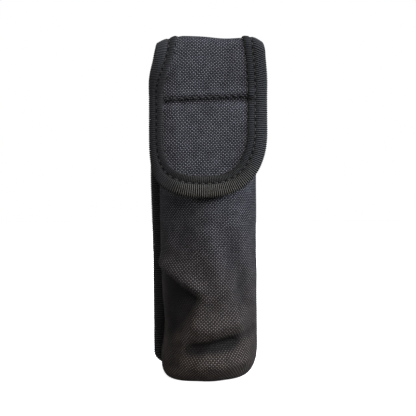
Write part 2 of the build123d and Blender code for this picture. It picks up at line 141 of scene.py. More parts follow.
class HolsterColours(bpy.types.PropertyGroup):
    """Colours of the cloth, tape, metal and floor."""

    yarn: bpy.props.FloatVectorProperty(
        name="Nylon yarn",
        description="Colour of the crowns of the woven nylon",
        default=(0.130, 0.130, 0.150),
        size=3,
        min=0.0,
        max=1.0,
        subtype="COLOR",
    )
    gap: bpy.props.FloatVectorProperty(
        name="Weave gaps",
        description="Colour between the yarns of the woven nylon",
        default=(0.002, 0.002, 0.003),
        size=3,
        min=0.0,
        max=1.0,
        subtype="COLOR",
    )
    tape: bpy.props.FloatVectorProperty(
        name="Binding tape",
        description="Colour of the ribbed binding tape",
        default=(0.030, 0.031, 0.034),
        size=3,
        min=0.0,
        max=1.0,
        subtype="COLOR",
    )
    anodised: bpy.props.FloatVectorProperty(
        name="Anodised metal",
        description="Colour of the flashlight's black anodised metal",
        default=(0.012, 0.012, 0.013),
        size=3,
        min=0.0,
        max=1.0,
        subtype="COLOR",
    )
    floor: bpy.props.FloatVectorProperty(
        name="Floor",
        description="Colour of the studio floor",
        default=(0.86, 0.86, 0.86),
        size=3,
        min=0.0,
        max=1.0,
        subtype="COLOR",
    )


# ---- Meshes ----
def smooth(x, low, high):
    """0 below low, 1 above high, and an S-curve in between."""
    t = np.clip((np.asarray(x, float) - low) / (high - low), 0.0, 1.0)
    return t * t * (3 - 2 * t)


def bell(x, centre, width):
    """1 at centre, fading to both sides."""
    return np.exp(-(((np.asarray(x, float) - centre) / width) ** 2))


def unit(v):
    """Vectors scaled to length 1."""
    return v / np.maximum(np.linalg.norm(v, axis=-1, keepdims=True), 1e-12)


def surface(place, order=1.0):
    """A function of flat cloth coordinates that gives the outer face's points and normals."""

    def at(a, b):
        step = 0.2
        across = place(a + step, b) - place(a - step, b)
        along = place(a, b + step) - place(a, b - step)
        return place(a, b), unit(np.cross(along, across)) * order

    return at


def quads(index):
    """Faces of a grid of vertex numbers."""
    corners = (index[:-1, :-1], index[1:, :-1], index[1:, 1:], index[:-1, 1:])
    return np.stack(corners, -1).reshape(-1, 4)


def new_piece(name, points, faces, material, uv=None):
    """An object in the scene from points and cloth coordinates in millimetres."""
    mesh = bpy.data.meshes.new(name)
    mesh.from_pydata((np.asarray(points) * MM).tolist(), [], [list(f) for f in faces])
    if uv is not None:
        index = np.zeros(len(mesh.loops), np.int32)
        mesh.loops.foreach_get("vertex_index", index)
        layer = mesh.uv_layers.new(name="cloth")
        layer.data.foreach_set("uv", (np.asarray(uv, float) * MM)[index].ravel())
    solid = bmesh.new()
    solid.from_mesh(mesh)
    bmesh.ops.recalc_face_normals(solid, faces=solid.faces)
    solid.to_mesh(mesh)
    solid.free()
    mesh.polygons.foreach_set("use_smooth", [True] * len(mesh.polygons))
    mesh.materials.append(material)
    mesh.update()
    piece = bpy.data.objects.new(name, mesh)
    bpy.context.scene.collection.objects.link(piece)
    return piece


def cloth(name, at, a, b, thickness, material, lift=0.0):
    """A closed sheet over a grid of cloth coordinates, its outer face lift above the surface."""
    a, b = np.broadcast_arrays(np.asarray(a, float), np.asarray(b, float))
    p, n = at(a, b)
    rows, cols = a.shape
    count = rows * cols
    index = np.arange(count).reshape(rows, cols)
    outer = (p + n * lift).reshape(-1, 3)
    inner = (p + n * (lift - thickness)).reshape(-1, 3)
    ring = np.concatenate([index[:, 0], index[-1, 1:], index[-2::-1, -1], index[0, -2:0:-1]])
    after = np.roll(ring, -1)
    sides = np.stack([after, ring, ring + count, after + count], -1)
    faces = np.concatenate([quads(index), quads(index)[:, ::-1] + count, sides])
    flat = np.stack([a, b], -1).reshape(-1, 2)
    return new_piece(name, np.concatenate([outer, inner]), faces, material, np.concatenate([flat, flat]))


def arc_length(path):
    """Distance along a path, at each of its points."""
    steps = np.linalg.norm(np.diff(path, axis=0), axis=1)
    return np.concatenate([[0.0], np.cumsum(steps)])


def resample(path, step, *others):
    """The path at even steps, with other vectors that go along it, and the distances."""
    s = arc_length(path)
    t = np.linspace(0, s[-1], max(3, int(round(s[-1] / step)) + 1))
    out = []
    for each in (path, *others):
        out.append(np.stack([np.interp(t, s, each[:, k]) for k in range(each.shape[1])], 1))
    return (*out, t)


def inward(line, inside):
    """Unit vectors in the flat cloth, square to a border and towards a point inside."""
    along = unit(np.gradient(line, axis=0))
    square = np.stack([-along[:, 1], along[:, 0]], 1)
    sign = np.sign((square * (np.asarray(inside, float) - line)).sum(-1, keepdims=True))
    return square * np.where(sign == 0, 1.0, sign)


def tape_section(width, wrap):
    """(into, over the cloth's face, ribs' share, face) round the outside of a folded tape."""
    seam = 0.62 * width
    leg = [
        (width, 0.05, 0.0),
        (width - 0.02, 0.45, 0.3),
        (width - 0.4, 0.62, 0.5),
        (width - 1.2, 0.72, 0.5),
        (seam + 0.7, 0.66, 0.5),
        (seam + 0.25, 0.42, 0.3),
        (seam, 0.34, 0.1),
        (seam - 0.25, 0.44, 0.4),
        (seam - 0.8, 0.80, 1.0),
        (seam - 1.7, 0.98, 1.0),
        (2.3, 1.02, 1.0),
        (1.5, 0.98, 1.0),
        (0.8, 0.90, 1.0),
    ]
    front = [(w, h, r, 1.0) for w, h, r in leg]
    back = [(w, h, r, -1.0) for w, h, r in reversed(leg)]
    return np.array(front), np.array(back), np.radians(np.linspace(72, -72, 9)), wrap


def binding(name, at, line, into, half, core, sizes, material, seed=0.0, wrap=1.0):
    """Ribbed tape folded over a cloth edge whose middle is core under the outer face."""
    pitch = sizes.rib_pitch / MM
    width = sizes.tape_width / MM
    half = np.broadcast_to(np.asarray(half, float), (len(line),))[:, None]
    line, into, half, s = resample(line, pitch / 4, into, half)
    into, half = unit(into), half[:, 0]
    front, back, turn, wrap = tape_section(width, wrap)
    phase = 2 * np.pi * s / pitch + 0.6 * np.sin(s / 11.0 + seed)
    rib = 0.17 * np.cos(phase)
    wobble = 0.16 * np.sin(s / 7.3 + seed) + 0.10 * np.sin(s / 3.1 + 2 * seed)
    parts = []
    for leg in (front, None, back):
        if leg is None:
            w = 0.6 - (0.6 + wrap + rib)[:, None] * np.cos(turn)
            h = (half + 0.9 + rib)[:, None] * np.sin(turn)
            v = w - 0.6
        else:
            high = half[:, None] + leg[:, 1] + leg[:, 2] * rib[:, None]
            h = leg[:, 3] * high
            w = leg[:, 0] + wobble[:, None] * smooth(leg[:, 0], 2.0, 7.0)
            v = w
        parts.append(np.stack(np.broadcast_arrays(w, h, v), -1))
    hidden_w = np.array([width - 0.3, 0.6, 0.6, width - 0.3]) + 0 * s[:, None]
    hidden_h = np.array([-1, -1, 1, 1]) * (half[:, None] - 0.25)
    parts.append(np.stack([hidden_w, hidden_h, hidden_w], -1))
    section = np.concatenate(parts, axis=1)
    flat = line[:, None] + into[:, None] * section[..., :1]
    p, n = at(flat[..., 0], flat[..., 1])
    points = p + n * (section[..., 1:2] - core)
    rows, cols = section.shape[:2]
    index = np.arange(rows * cols).reshape(rows, cols)
    around = np.concatenate([index, index[:, :1]], axis=1)
    faces = quads(around).tolist() + [index[0].tolist(), index[-1].tolist()]
    u = (phase * pitch / (2 * np.pi))[:, None] + 0 * section[..., 2]
    uv = np.stack([u, section[..., 2]], -1).reshape(-1, 2)
    return new_piece(name, points.reshape(-1, 3), faces, material, uv)


def stitches(name, at, line, into, offset, high, sizes, radius=0.30, share=0.74, dip=0.55, slant=0.0):
    """A row of thread stitches, each arched with its ends sunk in. high is over the outer face."""
    pitch = sizes.stitch_length / MM
    flat = line + into * np.broadcast_to(np.asarray(offset, float), (len(line),))[:, None]
    s = arc_length(flat)
    count = max(1, int(s[-1] / pitch))
    rng = np.random.default_rng(len(name) + count)
    along = np.linspace(-1, 1, 7)
    reach = 0.5 * pitch * share * rng.uniform(0.90, 1.05, count)
    t = (np.arange(count) + 0.5)[:, None] * s[-1] / count + along * reach[:, None]
    t = np.clip(t, 0, s[-1])
    drift = (slant + rng.uniform(-0.07, 0.07, count))[:, None] * along
    a = np.interp(t, s, flat[:, 0]) + drift * np.interp(t, s, into[:, 0])
    b = np.interp(t, s, flat[:, 1]) + drift * np.interp(t, s, into[:, 1])
    p, n = at(a, b)
    flip = 1.0 if high > -0.6 else -1.0
    middle = p + n * (high - flip * dip * along[None, :, None] ** 4)
    side = unit(np.cross(n, np.gradient(middle, axis=1)))
    around = np.linspace(0, 2 * np.pi, 6, endpoint=False)
    size = radius * (1 - 0.5 * along**6)[None, :, None, None]
    round_n = np.cos(around)[None, None, :, None] * n[:, :, None]
    round_s = np.sin(around)[None, None, :, None] * side[:, :, None]
    points = middle[:, :, None] + size * (0.8 * round_n + round_s)
    faces = []
    for k in range(count):
        index = np.arange(42).reshape(7, 6) + 42 * k
        faces += quads(np.concatenate([index, index[:, :1]], 1)).tolist()
        faces += [index[0].tolist(), index[-1].tolist()]
    return new_piece(name, points.reshape(-1, 3), faces, FINISH["thread"])


def grid_area(at, a, b):
    """Area in square millimetres of the surface over a grid of cloth coordinates."""
    p, _ = at(*np.broadcast_arrays(np.asarray(a, float), np.asarray(b, float)))
    one = np.cross(p[1:, :-1] - p[:-1, :-1], p[:-1, 1:] - p[:-1, :-1])
    two = np.cross(p[1:, :-1] - p[1:, 1:], p[:-1, 1:] - p[1:, 1:])
    return 0.5 * (np.linalg.norm(one, axis=-1).sum() + np.linalg.norm(two, axis=-1).sum())


def cut_sheet(at, a, b):
    """Works out the width and length of the rectangle a piece is cut from and its cut area, and keeps
    neither.
    """
    width = np.ptp(np.asarray(a, float)) * MM
    length = np.ptp(np.asarray(b, float)) * MM
    area = min(grid_area(at, a, b) * MM * MM, width * length)


# ---- Materials ----
def group_socket(tree, name, kind, way, default=None):
    """One input or output of a node group."""
    socket = tree.interface.new_socket(name=name, in_out=way, socket_type=kind)
    if default is not None:
        socket.default_value = default
    return socket


class Nodes:
    """Short calls for making and joining shader nodes."""

    def __init__(self, tree):
        self.tree = tree

    def make(self, kind, **values):
        node = self.tree.nodes.new(kind)
        for key, value in values.items():
            setattr(node, key, value)
        return node

    def join(self, source, target):
        self.tree.links.new(source, target)

    def math(self, operation, a, b=None, c=None):
        """The result socket of a math node; a, b and c are sockets or numbers."""
        node = self.make("ShaderNodeMath", operation=operation)
        for slot, value in zip(node.inputs, (a, b, c)):
            if value is None:
                continue
            if isinstance(value, bpy.types.NodeSocket):
                self.join(value, slot)
            else:
                slot.default_value = value
        return node.outputs[0]

    def mix(self, factor, a, b):
        """A colour mixed from a to b."""
        node = self.make("ShaderNodeMix", data_type="RGBA")
        for slot, value in ((node.inputs[0], factor), (node.inputs[6], a), (node.inputs[7], b)):
            if isinstance(value, bpy.types.NodeSocket):
                self.join(value, slot)
            else:
                slot.default_value = value if slot == node.inputs[0] else (*value, 1.0)
        return node.outputs[2]

    def noise(self, vector, scale, detail=2.0, rough=0.5):
        """The value of a noise texture."""
        node = self.make("ShaderNodeTexNoise")
        node.inputs["Scale"].default_value = scale
        node.inputs["Detail"].default_value = detail
        node.inputs["Roughness"].default_value = rough
        self.join(vector, node.inputs["Vector"])
        return node.outputs["Fac"]

    def ramp(self, value, low, high):
        """0 below low and 1 above high."""
        node = self.make("ShaderNodeMapRange", interpolation_type="SMOOTHSTEP")
        self.join(value, node.inputs["Value"])
        node.inputs["From Min"].default_value = low
        node.inputs["From Max"].default_value = high
        return node.outputs["Result"]


def start_group(name):
    """A new node group with its input and output nodes."""
    tree = bpy.data.node_groups.new(name, "ShaderNodeTree")
    return tree, Nodes(tree)


def weave_group():
    """Plain weave of thick yarns, from cloth coordinates in metres."""
    tree, n = start_group("Yarn weave")
    group_socket(tree, "Cloth", "NodeSocketVector", "INPUT")
    group_socket(tree, "Pitch", "NodeSocketFloat", "INPUT", 0.0007)
    group_socket(tree, "Crown", "NodeSocketFloat", "OUTPUT")
    group_socket(tree, "Height", "NodeSocketFloat", "OUTPUT")
    group_socket(tree, "Variation", "NodeSocketFloat", "OUTPUT")
    inside, outside = n.make("NodeGroupInput"), n.make("NodeGroupOutput")
    bend = n.make("ShaderNodeTexNoise")
    bend.inputs["Scale"].default_value = 160.0
    bend.inputs["Detail"].default_value = 1.0
    n.join(inside.outputs["Cloth"], bend.inputs["Vector"])
    split = n.make("ShaderNodeSeparateXYZ")
    n.join(inside.outputs["Cloth"], split.inputs[0])
    drift = n.math("MULTIPLY", n.math("SUBTRACT", bend.outputs["Fac"], 0.5), 0.0010)
    u = n.math("DIVIDE", n.math("ADD", split.outputs["X"], drift), inside.outputs["Pitch"])
    v = n.math("DIVIDE", n.math("SUBTRACT", split.outputs["Y"], drift), inside.outputs["Pitch"])
    su = n.math("SINE", n.math("MULTIPLY", u, math.pi))
    sv = n.math("SINE", n.math("MULTIPLY", v, math.pi))
    cell = n.math("MULTIPLY", su, sv)
    size = n.math("ABSOLUTE", cell)
    height = n.math("POWER", size, 0.55)
    over = n.ramp(cell, -0.15, 0.15)
    crown = n.math("MULTIPLY", n.math("POWER", size, 1.0), n.math("MULTIPLY_ADD", over, 0.80, 0.20))
    n.join(crown, outside.inputs["Crown"])
    n.join(n.math("MULTIPLY", height, n.math("MULTIPLY_ADD", over, 0.3, 0.7)), outside.inputs["Height"])
    n.join(n.noise(inside.outputs["Cloth"], 220.0, 4.0, 0.7), outside.inputs["Variation"])
    return tree


def dust_group():
    """Lint and handling marks, as a mask that changes over the surface."""
    tree, n = start_group("Lint and wear")
    group_socket(tree, "Lint", "NodeSocketFloat", "INPUT", 0.5)
    group_socket(tree, "Edge", "NodeSocketFloat", "INPUT", 0.5)
    group_socket(tree, "Mask", "NodeSocketFloat", "OUTPUT")
    inside, outside = n.make("NodeGroupInput"), n.make("NodeGroupOutput")
    where = n.make("ShaderNodeTexCoord").outputs["Object"]
    specks = n.ramp(n.noise(where, 1400.0, 2.0, 0.7), 0.63, 0.75)
    patches = n.ramp(n.noise(where, 60.0, 3.0, 0.6), 0.42, 0.68)
    lint = n.math("MULTIPLY", n.math("MULTIPLY", specks, patches), inside.outputs["Lint"])
    worn = n.ramp(n.make("ShaderNodeNewGeometry").outputs["Pointiness"], 0.52, 0.60)
    edge = n.math("MULTIPLY", worn, inside.outputs["Edge"])
    n.join(n.math("MAXIMUM", lint, edge), outside.inputs["Mask"])
    return tree


def place_group(n, tree, **values):
    """A node group placed in a material, with its inputs set or joined."""
    node = n.make("ShaderNodeGroup", node_tree=tree)
    for key, value in values.items():
        if isinstance(value, bpy.types.NodeSocket):
            n.join(value, node.inputs[key])
        else:
            node.inputs[key].default_value = value
    return node


def start_material(name, rough=0.6, metallic=0.0):
    """A material with a Principled shader, its node helper and the shader node."""
    material = bpy.data.materials.new(name)
    material.use_nodes = True
    n = Nodes(material.node_tree)
    shader = material.node_tree.nodes["Principled BSDF"]
    shader.inputs["Roughness"].default_value = rough
    shader.inputs["Metallic"].default_value = metallic
    return material, n, shader


def cloth_coordinates(n):
    """The cloth's own coordinates, along its yarns."""
    return n.make("ShaderNodeUVMap", uv_map="cloth").outputs["UV"]


def bump(n, shader, height, strength, distance):
    """Height joined to the shader's normal."""
    node = n.make("ShaderNodeBump")
    node.inputs["Strength"].default_value = strength
    node.inputs["Distance"].default_value = distance
    n.join(height, node.inputs["Height"])
    n.join(node.outputs["Normal"], shader.inputs["Normal"])


def nylon_material(name, weave, dust, yarn, gap, pitch, warm=False):
    """Coated woven nylon: pale yarn crowns over near-black gaps."""
    material, n, shader = start_material(name, 0.55)
    where = cloth_coordinates(n)
    yarns = place_group(n, weave, Cloth=where, Pitch=pitch)
    marks = place_group(n, dust, Lint=0.25, Edge=0.2)
    lively = n.math("MULTIPLY_ADD", yarns.outputs["Variation"], 1.9, 0.05)
    shade = n.math("MULTIPLY", yarns.outputs["Crown"], lively)
    colour = n.mix(shade, gap, yarn)
    if warm:
        height = n.make("ShaderNodeSeparateXYZ")
        n.join(n.make("ShaderNodeTexCoord").outputs["Object"], height.inputs[0])
        low = n.math("SUBTRACT", 1.0, n.ramp(height.outputs["Z"], 0.005, 0.095))
        brown = n.mix(shade, (0.002, 0.002, 0.002), (0.150, 0.117, 0.096))
        colour = n.mix(n.math("MULTIPLY", low, 0.85), colour, brown)
        # Painted shade: in the pouch's hollows and creases the colour goes towards near-black, read from
        # the panel's crease mask.
        folded = n.make("ShaderNodeAttribute", attribute_name="painted_crease_shade").outputs["Fac"]
        colour = n.mix(n.math("MULTIPLY", folded, 0.85), colour, (0.003, 0.003, 0.003))
    colour = n.mix(n.math("MULTIPLY", marks.outputs["Mask"], 0.6), colour, (0.20, 0.20, 0.21))
    n.join(colour, shader.inputs["Base Color"])
    n.join(n.math("MULTIPLY_ADD", yarns.outputs["Crown"], -0.18, 0.66), shader.inputs["Roughness"])
    shader.inputs["Specular IOR Level"].default_value = 0.12
    bump(n, shader, yarns.outputs["Height"], 1.0, 0.00040)
    return material


def rib_group():
    """Ribs of grosgrain tape, its darker inner band and its stitch line, from tape coordinates."""
    tree, n = start_group("Grosgrain")
    group_socket(tree, "Cloth", "NodeSocketVector", "INPUT")
    group_socket(tree, "Pitch", "NodeSocketFloat", "INPUT", 0.0009)
    group_socket(tree, "Seam", "NodeSocketFloat", "INPUT", 0.005)
    group_socket(tree, "Rib", "NodeSocketFloat", "OUTPUT")
    group_socket(tree, "Inner band", "NodeSocketFloat", "OUTPUT")
    group_socket(tree, "Stitch line", "NodeSocketFloat", "OUTPUT")
    inside, outside = n.make("NodeGroupInput"), n.make("NodeGroupOutput")
    split = n.make("ShaderNodeSeparateXYZ")
    n.join(inside.outputs["Cloth"], split.inputs[0])
    turns = n.math("DIVIDE", split.outputs["X"], inside.outputs["Pitch"])
    wave = n.math("COSINE", n.math("MULTIPLY", turns, 2 * math.pi))
    n.join(n.math("MULTIPLY_ADD", wave, 0.5, 0.5), outside.inputs["Rib"])
    past = n.math("SUBTRACT", split.outputs["Y"], inside.outputs["Seam"])
    n.join(n.ramp(past, -0.0002, 0.0004), outside.inputs["Inner band"])
    near = n.math("SUBTRACT", 1.0, n.ramp(n.math("ABSOLUTE", past), 0.0001, 0.0006))
    n.join(near, outside.inputs["Stitch line"])
    return tree


def tape_material(name, ribs, dust, colour, sizes, faded):
    """Ribbed binding tape; faded says how pale its crowns get towards the flap's end, and when it is set,
    the tape's left edge gets painted light.
    """
    material, n, shader = start_material(name, 0.62)
    where = cloth_coordinates(n)
    seam = 0.62 * sizes.tape_width
    rib = place_group(n, ribs, Cloth=where, Pitch=sizes.rib_pitch, Seam=seam)
    marks = place_group(n, dust, Lint=0.4, Edge=0.15)
    grain = n.math("MULTIPLY_ADD", n.noise(where, 900.0, 3.0, 0.6), 0.9, 0.55)
    crest = n.math("MULTIPLY", n.math("POWER", rib.outputs["Rib"], 3.0), grain)
    crest = n.math("MULTIPLY", crest, n.math("MULTIPLY_ADD", rib.outputs["Inner band"], -0.55, 1.0))
    dark = tuple(0.22 * c for c in colour)
    base = n.mix(crest, dark, tuple(1.7 * c for c in colour))
    if faded:
        height = n.make("ShaderNodeSeparateXYZ")
        n.join(n.make("ShaderNodeTexCoord").outputs["Object"], height.inputs[0])
        right = n.math("MULTIPLY_ADD", n.ramp(height.outputs["X"], -0.021, -0.008), 0.65, 0.35)
        crest = n.math("MULTIPLY", crest, right)
        low = n.math("SUBTRACT", 1.0, n.ramp(height.outputs["Z"], 0.082, 0.100))
        pale = n.mix(crest, (0.001, 0.001, 0.001), (0.120, 0.113, 0.097))
        base = n.mix(n.math("MULTIPLY", low, faded), base, pale)
        # Painted light: on the flap's left edge the ribbed colour is mostly replaced by an even grey that
        # lightens the dark gaps between the ribs.
        painted_light_left = n.math("SUBTRACT", 1.0, n.ramp(height.outputs["X"], -0.0225, -0.0150))
        base = n.mix(n.math("MULTIPLY", painted_light_left, 0.6), base, (0.036, 0.037, 0.042))
    base = n.mix(n.math("MULTIPLY", rib.outputs["Stitch line"], 0.9), base, (0.001, 0.001, 0.001))
    base = n.mix(n.math("MULTIPLY", marks.outputs["Mask"], 0.3), base, (0.15, 0.14, 0.12))
    n.join(base, shader.inputs["Base Color"])
    n.join(n.math("MULTIPLY_ADD", crest, -0.1, 0.68), shader.inputs["Roughness"])
    shader.inputs["Specular IOR Level"].default_value = 0.14
    bump(n, shader, n.math("MULTIPLY", rib.outputs["Rib"], grain), 0.8, 0.00030)
    return material


def thread_material(dust):
    """Black bonded thread with a twist."""
    material, n, shader = start_material("thread", 0.6)
    where = n.make("ShaderNodeTexCoord").outputs["Object"]
    marks = place_group(n, dust, Lint=0.25, Edge=0.1)
    twist = n.make("ShaderNodeTexWave", wave_type="BANDS", bands_direction="DIAGONAL")
    twist.inputs["Scale"].default_value = 900.0
    n.join(where, twist.inputs["Vector"])
    base = n.mix(twist.outputs["Fac"], (0.006, 0.006, 0.007), (0.030, 0.030, 0.032))
    shader.inputs["Specular IOR Level"].default_value = 0.2
    n.join(n.mix(marks.outputs["Mask"], base, (0.16, 0.15, 0.14)), shader.inputs["Base Color"])
    bump(n, shader, twist.outputs["Fac"], 0.5, 0.00008)
    return material


def soft_material(name, dust, low, high, scale, depth, rough=0.9, sheen=0.15):
    """Knitted lining, pile or moulded hooks: a fine random relief."""
    material, n, shader = start_material(name, rough)
    where = n.make("ShaderNodeTexCoord").outputs["Object"]
    marks = place_group(n, dust, Lint=0.5, Edge=0.1)
    cells = n.make("ShaderNodeTexVoronoi")
    cells.inputs["Scale"].default_value = scale
    n.join(where, cells.inputs["Vector"])
    pile = n.math("SUBTRACT", 1.0, cells.outputs["Distance"])
    mixed = n.math("MULTIPLY", pile, n.math("MULTIPLY_ADD", n.noise(where, 220.0, 3.0), 0.8, 0.5))
    base = n.mix(mixed, low, high)
    lint = n.math("MULTIPLY", marks.outputs["Mask"], 0.5)
    n.join(n.mix(lint, base, (0.10, 0.10, 0.10)), shader.inputs["Base Color"])
    shader.inputs["Sheen Weight"].default_value = sheen
    shader.inputs["Specular IOR Level"].default_value = 0.2
    bump(n, shader, pile, 0.8, depth)
    return material


def metal_material(name, dust, colour, rough, metallic=1.0, knurl=False, edge=0.6, worn=(0.45, 0.45, 0.47)):
    """Turned metal, anodised or plated, with bright worn edges."""
    material, n, shader = start_material(name, rough, metallic)
    where = n.make("ShaderNodeTexCoord").outputs["Object"]
    marks = place_group(n, dust, Lint=0.15, Edge=edge)
    streaks = n.make("ShaderNodeMapping")
    streaks.inputs["Scale"].default_value = (60.0, 60.0, 2500.0)
    n.join(where, streaks.inputs["Vector"])
    lines = n.noise(streaks.outputs["Vector"], 1.0, 3.0, 0.6)
    shade = n.mix(lines, tuple(0.75 * c for c in colour), tuple(min(1.0, 1.25 * c) for c in colour))
    n.join(n.mix(marks.outputs["Mask"], shade, worn), shader.inputs["Base Color"])
    n.join(n.math("MULTIPLY_ADD", lines, 0.16, rough - 0.08), shader.inputs["Roughness"])
    shader.inputs["Specular IOR Level"].default_value = 0.28
    height = lines
    depth = 0.00002
    if knurl:
        split = n.make("ShaderNodeSeparateXYZ")
        n.join(where, split.inputs[0])
        angle = n.math("ARCTAN2", split.outputs["X"], split.outputs["Y"])
        turn = n.math("MULTIPLY", angle, 40.0)
        rise = n.math("MULTIPLY", split.outputs["Z"], 3142.0)
        one = n.math("SINE", n.math("ADD", turn, rise))
        two = n.math("SINE", n.math("SUBTRACT", turn, rise))
        height = n.math("MULTIPLY", n.math("ADD", one, two), 0.5)
        depth = 0.0005
    bump(n, shader, height, 0.7, depth)
    return material


def plain_material(name, dust, colour, rough, metallic=0.0, grain=500.0):
    """Moulded, plated or printed parts with a fine grain and small marks."""
    material, n, shader = start_material(name, rough, metallic)
    where = n.make("ShaderNodeTexCoord").outputs["Object"]
    marks = place_group(n, dust, Lint=0.3, Edge=0.25)
    speckle = n.noise(where, grain, 3.0, 0.6)
    shade = n.mix(speckle, tuple(0.8 * c for c in colour), tuple(min(1.0, 1.2 * c) for c in colour))
    worn = tuple(min(1.0, c + 0.12) for c in colour)
    n.join(n.mix(marks.outputs["Mask"], shade, worn), shader.inputs["Base Color"])
    n.join(n.math("MULTIPLY_ADD", speckle, 0.14, rough - 0.07), shader.inputs["Roughness"])
    shader.inputs["Specular IOR Level"].default_value = 0.35
    bump(n, shader, speckle, 0.3, 0.00005)
    return material


def glass_material():
    """The clear coated lens."""
    material, _, shader = start_material("lens_glass", 0.03)
    shader.inputs["Base Color"].default_value = (0.93, 0.95, 1.0, 1.0)
    shader.inputs["Transmission Weight"].default_value = 1.0
    shader.inputs["IOR"].default_value = 1.5
    shader.inputs["Coat Weight"].default_value = 0.3
    return material


FINISH = {}


def make_finishes(colours, sizes):
    """Every material, by the name of what wears it."""
    weave, ribs, dust = weave_group(), rib_group(), dust_group()
    pitch = sizes.weave_pitch
    yarn, gap, tape = tuple(colours.yarn), tuple(colours.gap), tuple(colours.tape)
    anodised = tuple(colours.anodised)
    FINISH.update(
        # Painted shade: the pouch and the flap are one nylon, but the pouch's copy has yarn crowns only 0.8
        # as bright as the flap's and the back's.
        pouch=nylon_material("pouch_nylon_painted_shade", weave, dust, yarn, gap, pitch, warm=True),
        flap=nylon_material("flap_nylon", weave, dust, tuple(1.25 * c for c in yarn), gap, pitch),
        webbing=nylon_material("webbing", weave, dust, (0.07, 0.07, 0.075), gap, 0.0010),
        tape=tape_material("binding_tape", ribs, dust, tape, sizes, 0.0),
        flap_tape=tape_material("flap_binding_tape", ribs, dust, tape, sizes, 0.85),
        thread=thread_material(dust),
        lining=soft_material(
            "lining", dust, (0.006, 0.006, 0.007), (0.026, 0.026, 0.028), 1500.0, 0.00012, sheen=0.05
        ),
        loops=soft_material(
            "loop_pile", dust, (0.004, 0.004, 0.004), (0.030, 0.030, 0.031), 2400.0, 0.0005, sheen=0.08
        ),
        hooks=soft_material(
            "hook_field", dust, (0.004, 0.004, 0.004), (0.035, 0.035, 0.036), 1200.0, 0.0006, 0.5, 0.0
        ),
        anodised=metal_material("anodised", dust, anodised, 0.46, 0.25, edge=0.15),
        knurled=metal_material("anodised_knurl", dust, anodised, 0.46, 0.25, knurl=True, edge=0.15),
        black_steel=metal_material("black_steel", dust, (0.02, 0.02, 0.022), 0.38, 0.5, edge=0.15),
        steel=metal_material("bright_steel", dust, (0.55, 0.55, 0.56), 0.30, edge=0.2),
        brass=metal_material(
            "turned_brass", dust, (0.62, 0.44, 0.17), 0.30, edge=0.3, worn=(0.85, 0.7, 0.4)
        ),
        gold=metal_material("gold_plate", dust, (0.75, 0.53, 0.20), 0.22, edge=0.1, worn=(0.9, 0.75, 0.45)),
        mirror=plain_material("reflector_mirror", dust, (0.80, 0.81, 0.83), 0.16, 1.0, 1600.0),
        rubber=plain_material("silicone", dust, (0.022, 0.022, 0.023), 0.65, grain=900.0),
        seal=plain_material("seal_rubber", dust, (0.02, 0.02, 0.02), 0.35),
        moulding=plain_material("black_moulding", dust, (0.03, 0.03, 0.031), 0.5),
        white_moulding=plain_material("white_moulding", dust, (0.72, 0.72, 0.70), 0.5),
        board=plain_material("green_board", dust, (0.02, 0.13, 0.05), 0.35),
        white_board=plain_material("white_board", dust, (0.68, 0.68, 0.66), 0.4),
        red=plain_material("red_moulding", dust, (0.45, 0.03, 0.02), 0.35),
        phosphor=plain_material("phosphor", dust, (0.70, 0.58, 0.06), 0.35),
        sleeve=plain_material("cell_sleeve", dust, (0.04, 0.09, 0.22), 0.3),
        lens=glass_material(),
    )


# ---- The pouch ----
CORNER = 9.0
FLOOR = POUCH_R - CORNER
BEND = math.pi * CORNER / 2
WALL = FLOOR + BEND - CORNER
REACH = math.pi * POUCH_R / 2 + SEAM_Y - 1.3


def fold(x, z, a, b, width):
    """1 along the line from a to b, fading away from it and off its ends."""
    d = np.array(b, float) - a
    t = np.clip(((x - a[0]) * d[0] + (z - a[1]) * d[1]) / (d @ d), 0, 1)
    gone = np.hypot(x - a[0] - t * d[0], z - a[1] - t * d[1])
    return np.exp(-((gone / width) ** 2))


def from_line(x, z, a, b):
    """How far to the left of the line from a to b each place is, and how far along it, in mm."""
    d = np.array(b, float) - a
    d = d / np.hypot(*d)
    return (z - a[1]) * d[0] - (x - a[0]) * d[1], (x - a[0]) * d[0] + (z - a[1]) * d[1]


def crumple(x, z):
    """How far the soft pouch's front bulges (or is pushed in) at each place, as shares."""
    above, along = from_line(x, z, (-22.0, 49.0), (-3.5, 36.5))
    beside, _ = from_line(x, z, (-13.0, 20.0), (-3.5, 36.5))
    hollow = smooth(-above, -0.5, 1.9) * smooth(beside, -0.6, 4.6) * smooth(z, 14.5, 22.0)
    hollow = hollow * (1 - 0.45 * smooth(-above, 9.0, 18.0))
    out = -1.12 * hollow
    ridge = np.exp(-(((above - 1.9) / np.where(above > 1.9, 4.0, 1.5)) ** 2))
    out += 0.95 * ridge * (1 - smooth(along, 14.0, 24.0))
    over, along = from_line(x, z, (-10.1, 15.2), (9.7, 19.0))
    ends = smooth(along, -4.0, 2.0) * (1 - smooth(along, 17.0, 25.0))
    out -= 1.15 * np.exp(-((over / np.where(over > 0, 2.3, 3.8)) ** 2)) * ends
    out += 0.85 * fold(x, z, (-6, 23.6), (9, 26.0), 3.6)
    out += 0.70 * fold(x, z, (-5, 7.6), (13, 9.2), 3.6)
    out -= 0.50 * fold(x, z, (-17.5, 7), (-16, 16), 2.2)
    out -= 0.34 * fold(x, z, (10, 19), (19, 22), 2.4)
    out += 0.30 * fold(x, z, (-2, 62), (4, 40), 5.5)
    out -= 0.28 * fold(x, z, (8, 64), (14, 36), 3.6)
    out -= 0.26 * fold(x, z, (-13, 62), (-10, 74), 4.0)
    fine = 0.08 * np.sin(x / 2.6 + z / 7.0) + 0.06 * np.sin(x / 1.7 - z / 4.0 + 1.0)
    return out + fine * smooth(z, 4, 20) * (1 - 0.5 * smooth(z, 50, 100))


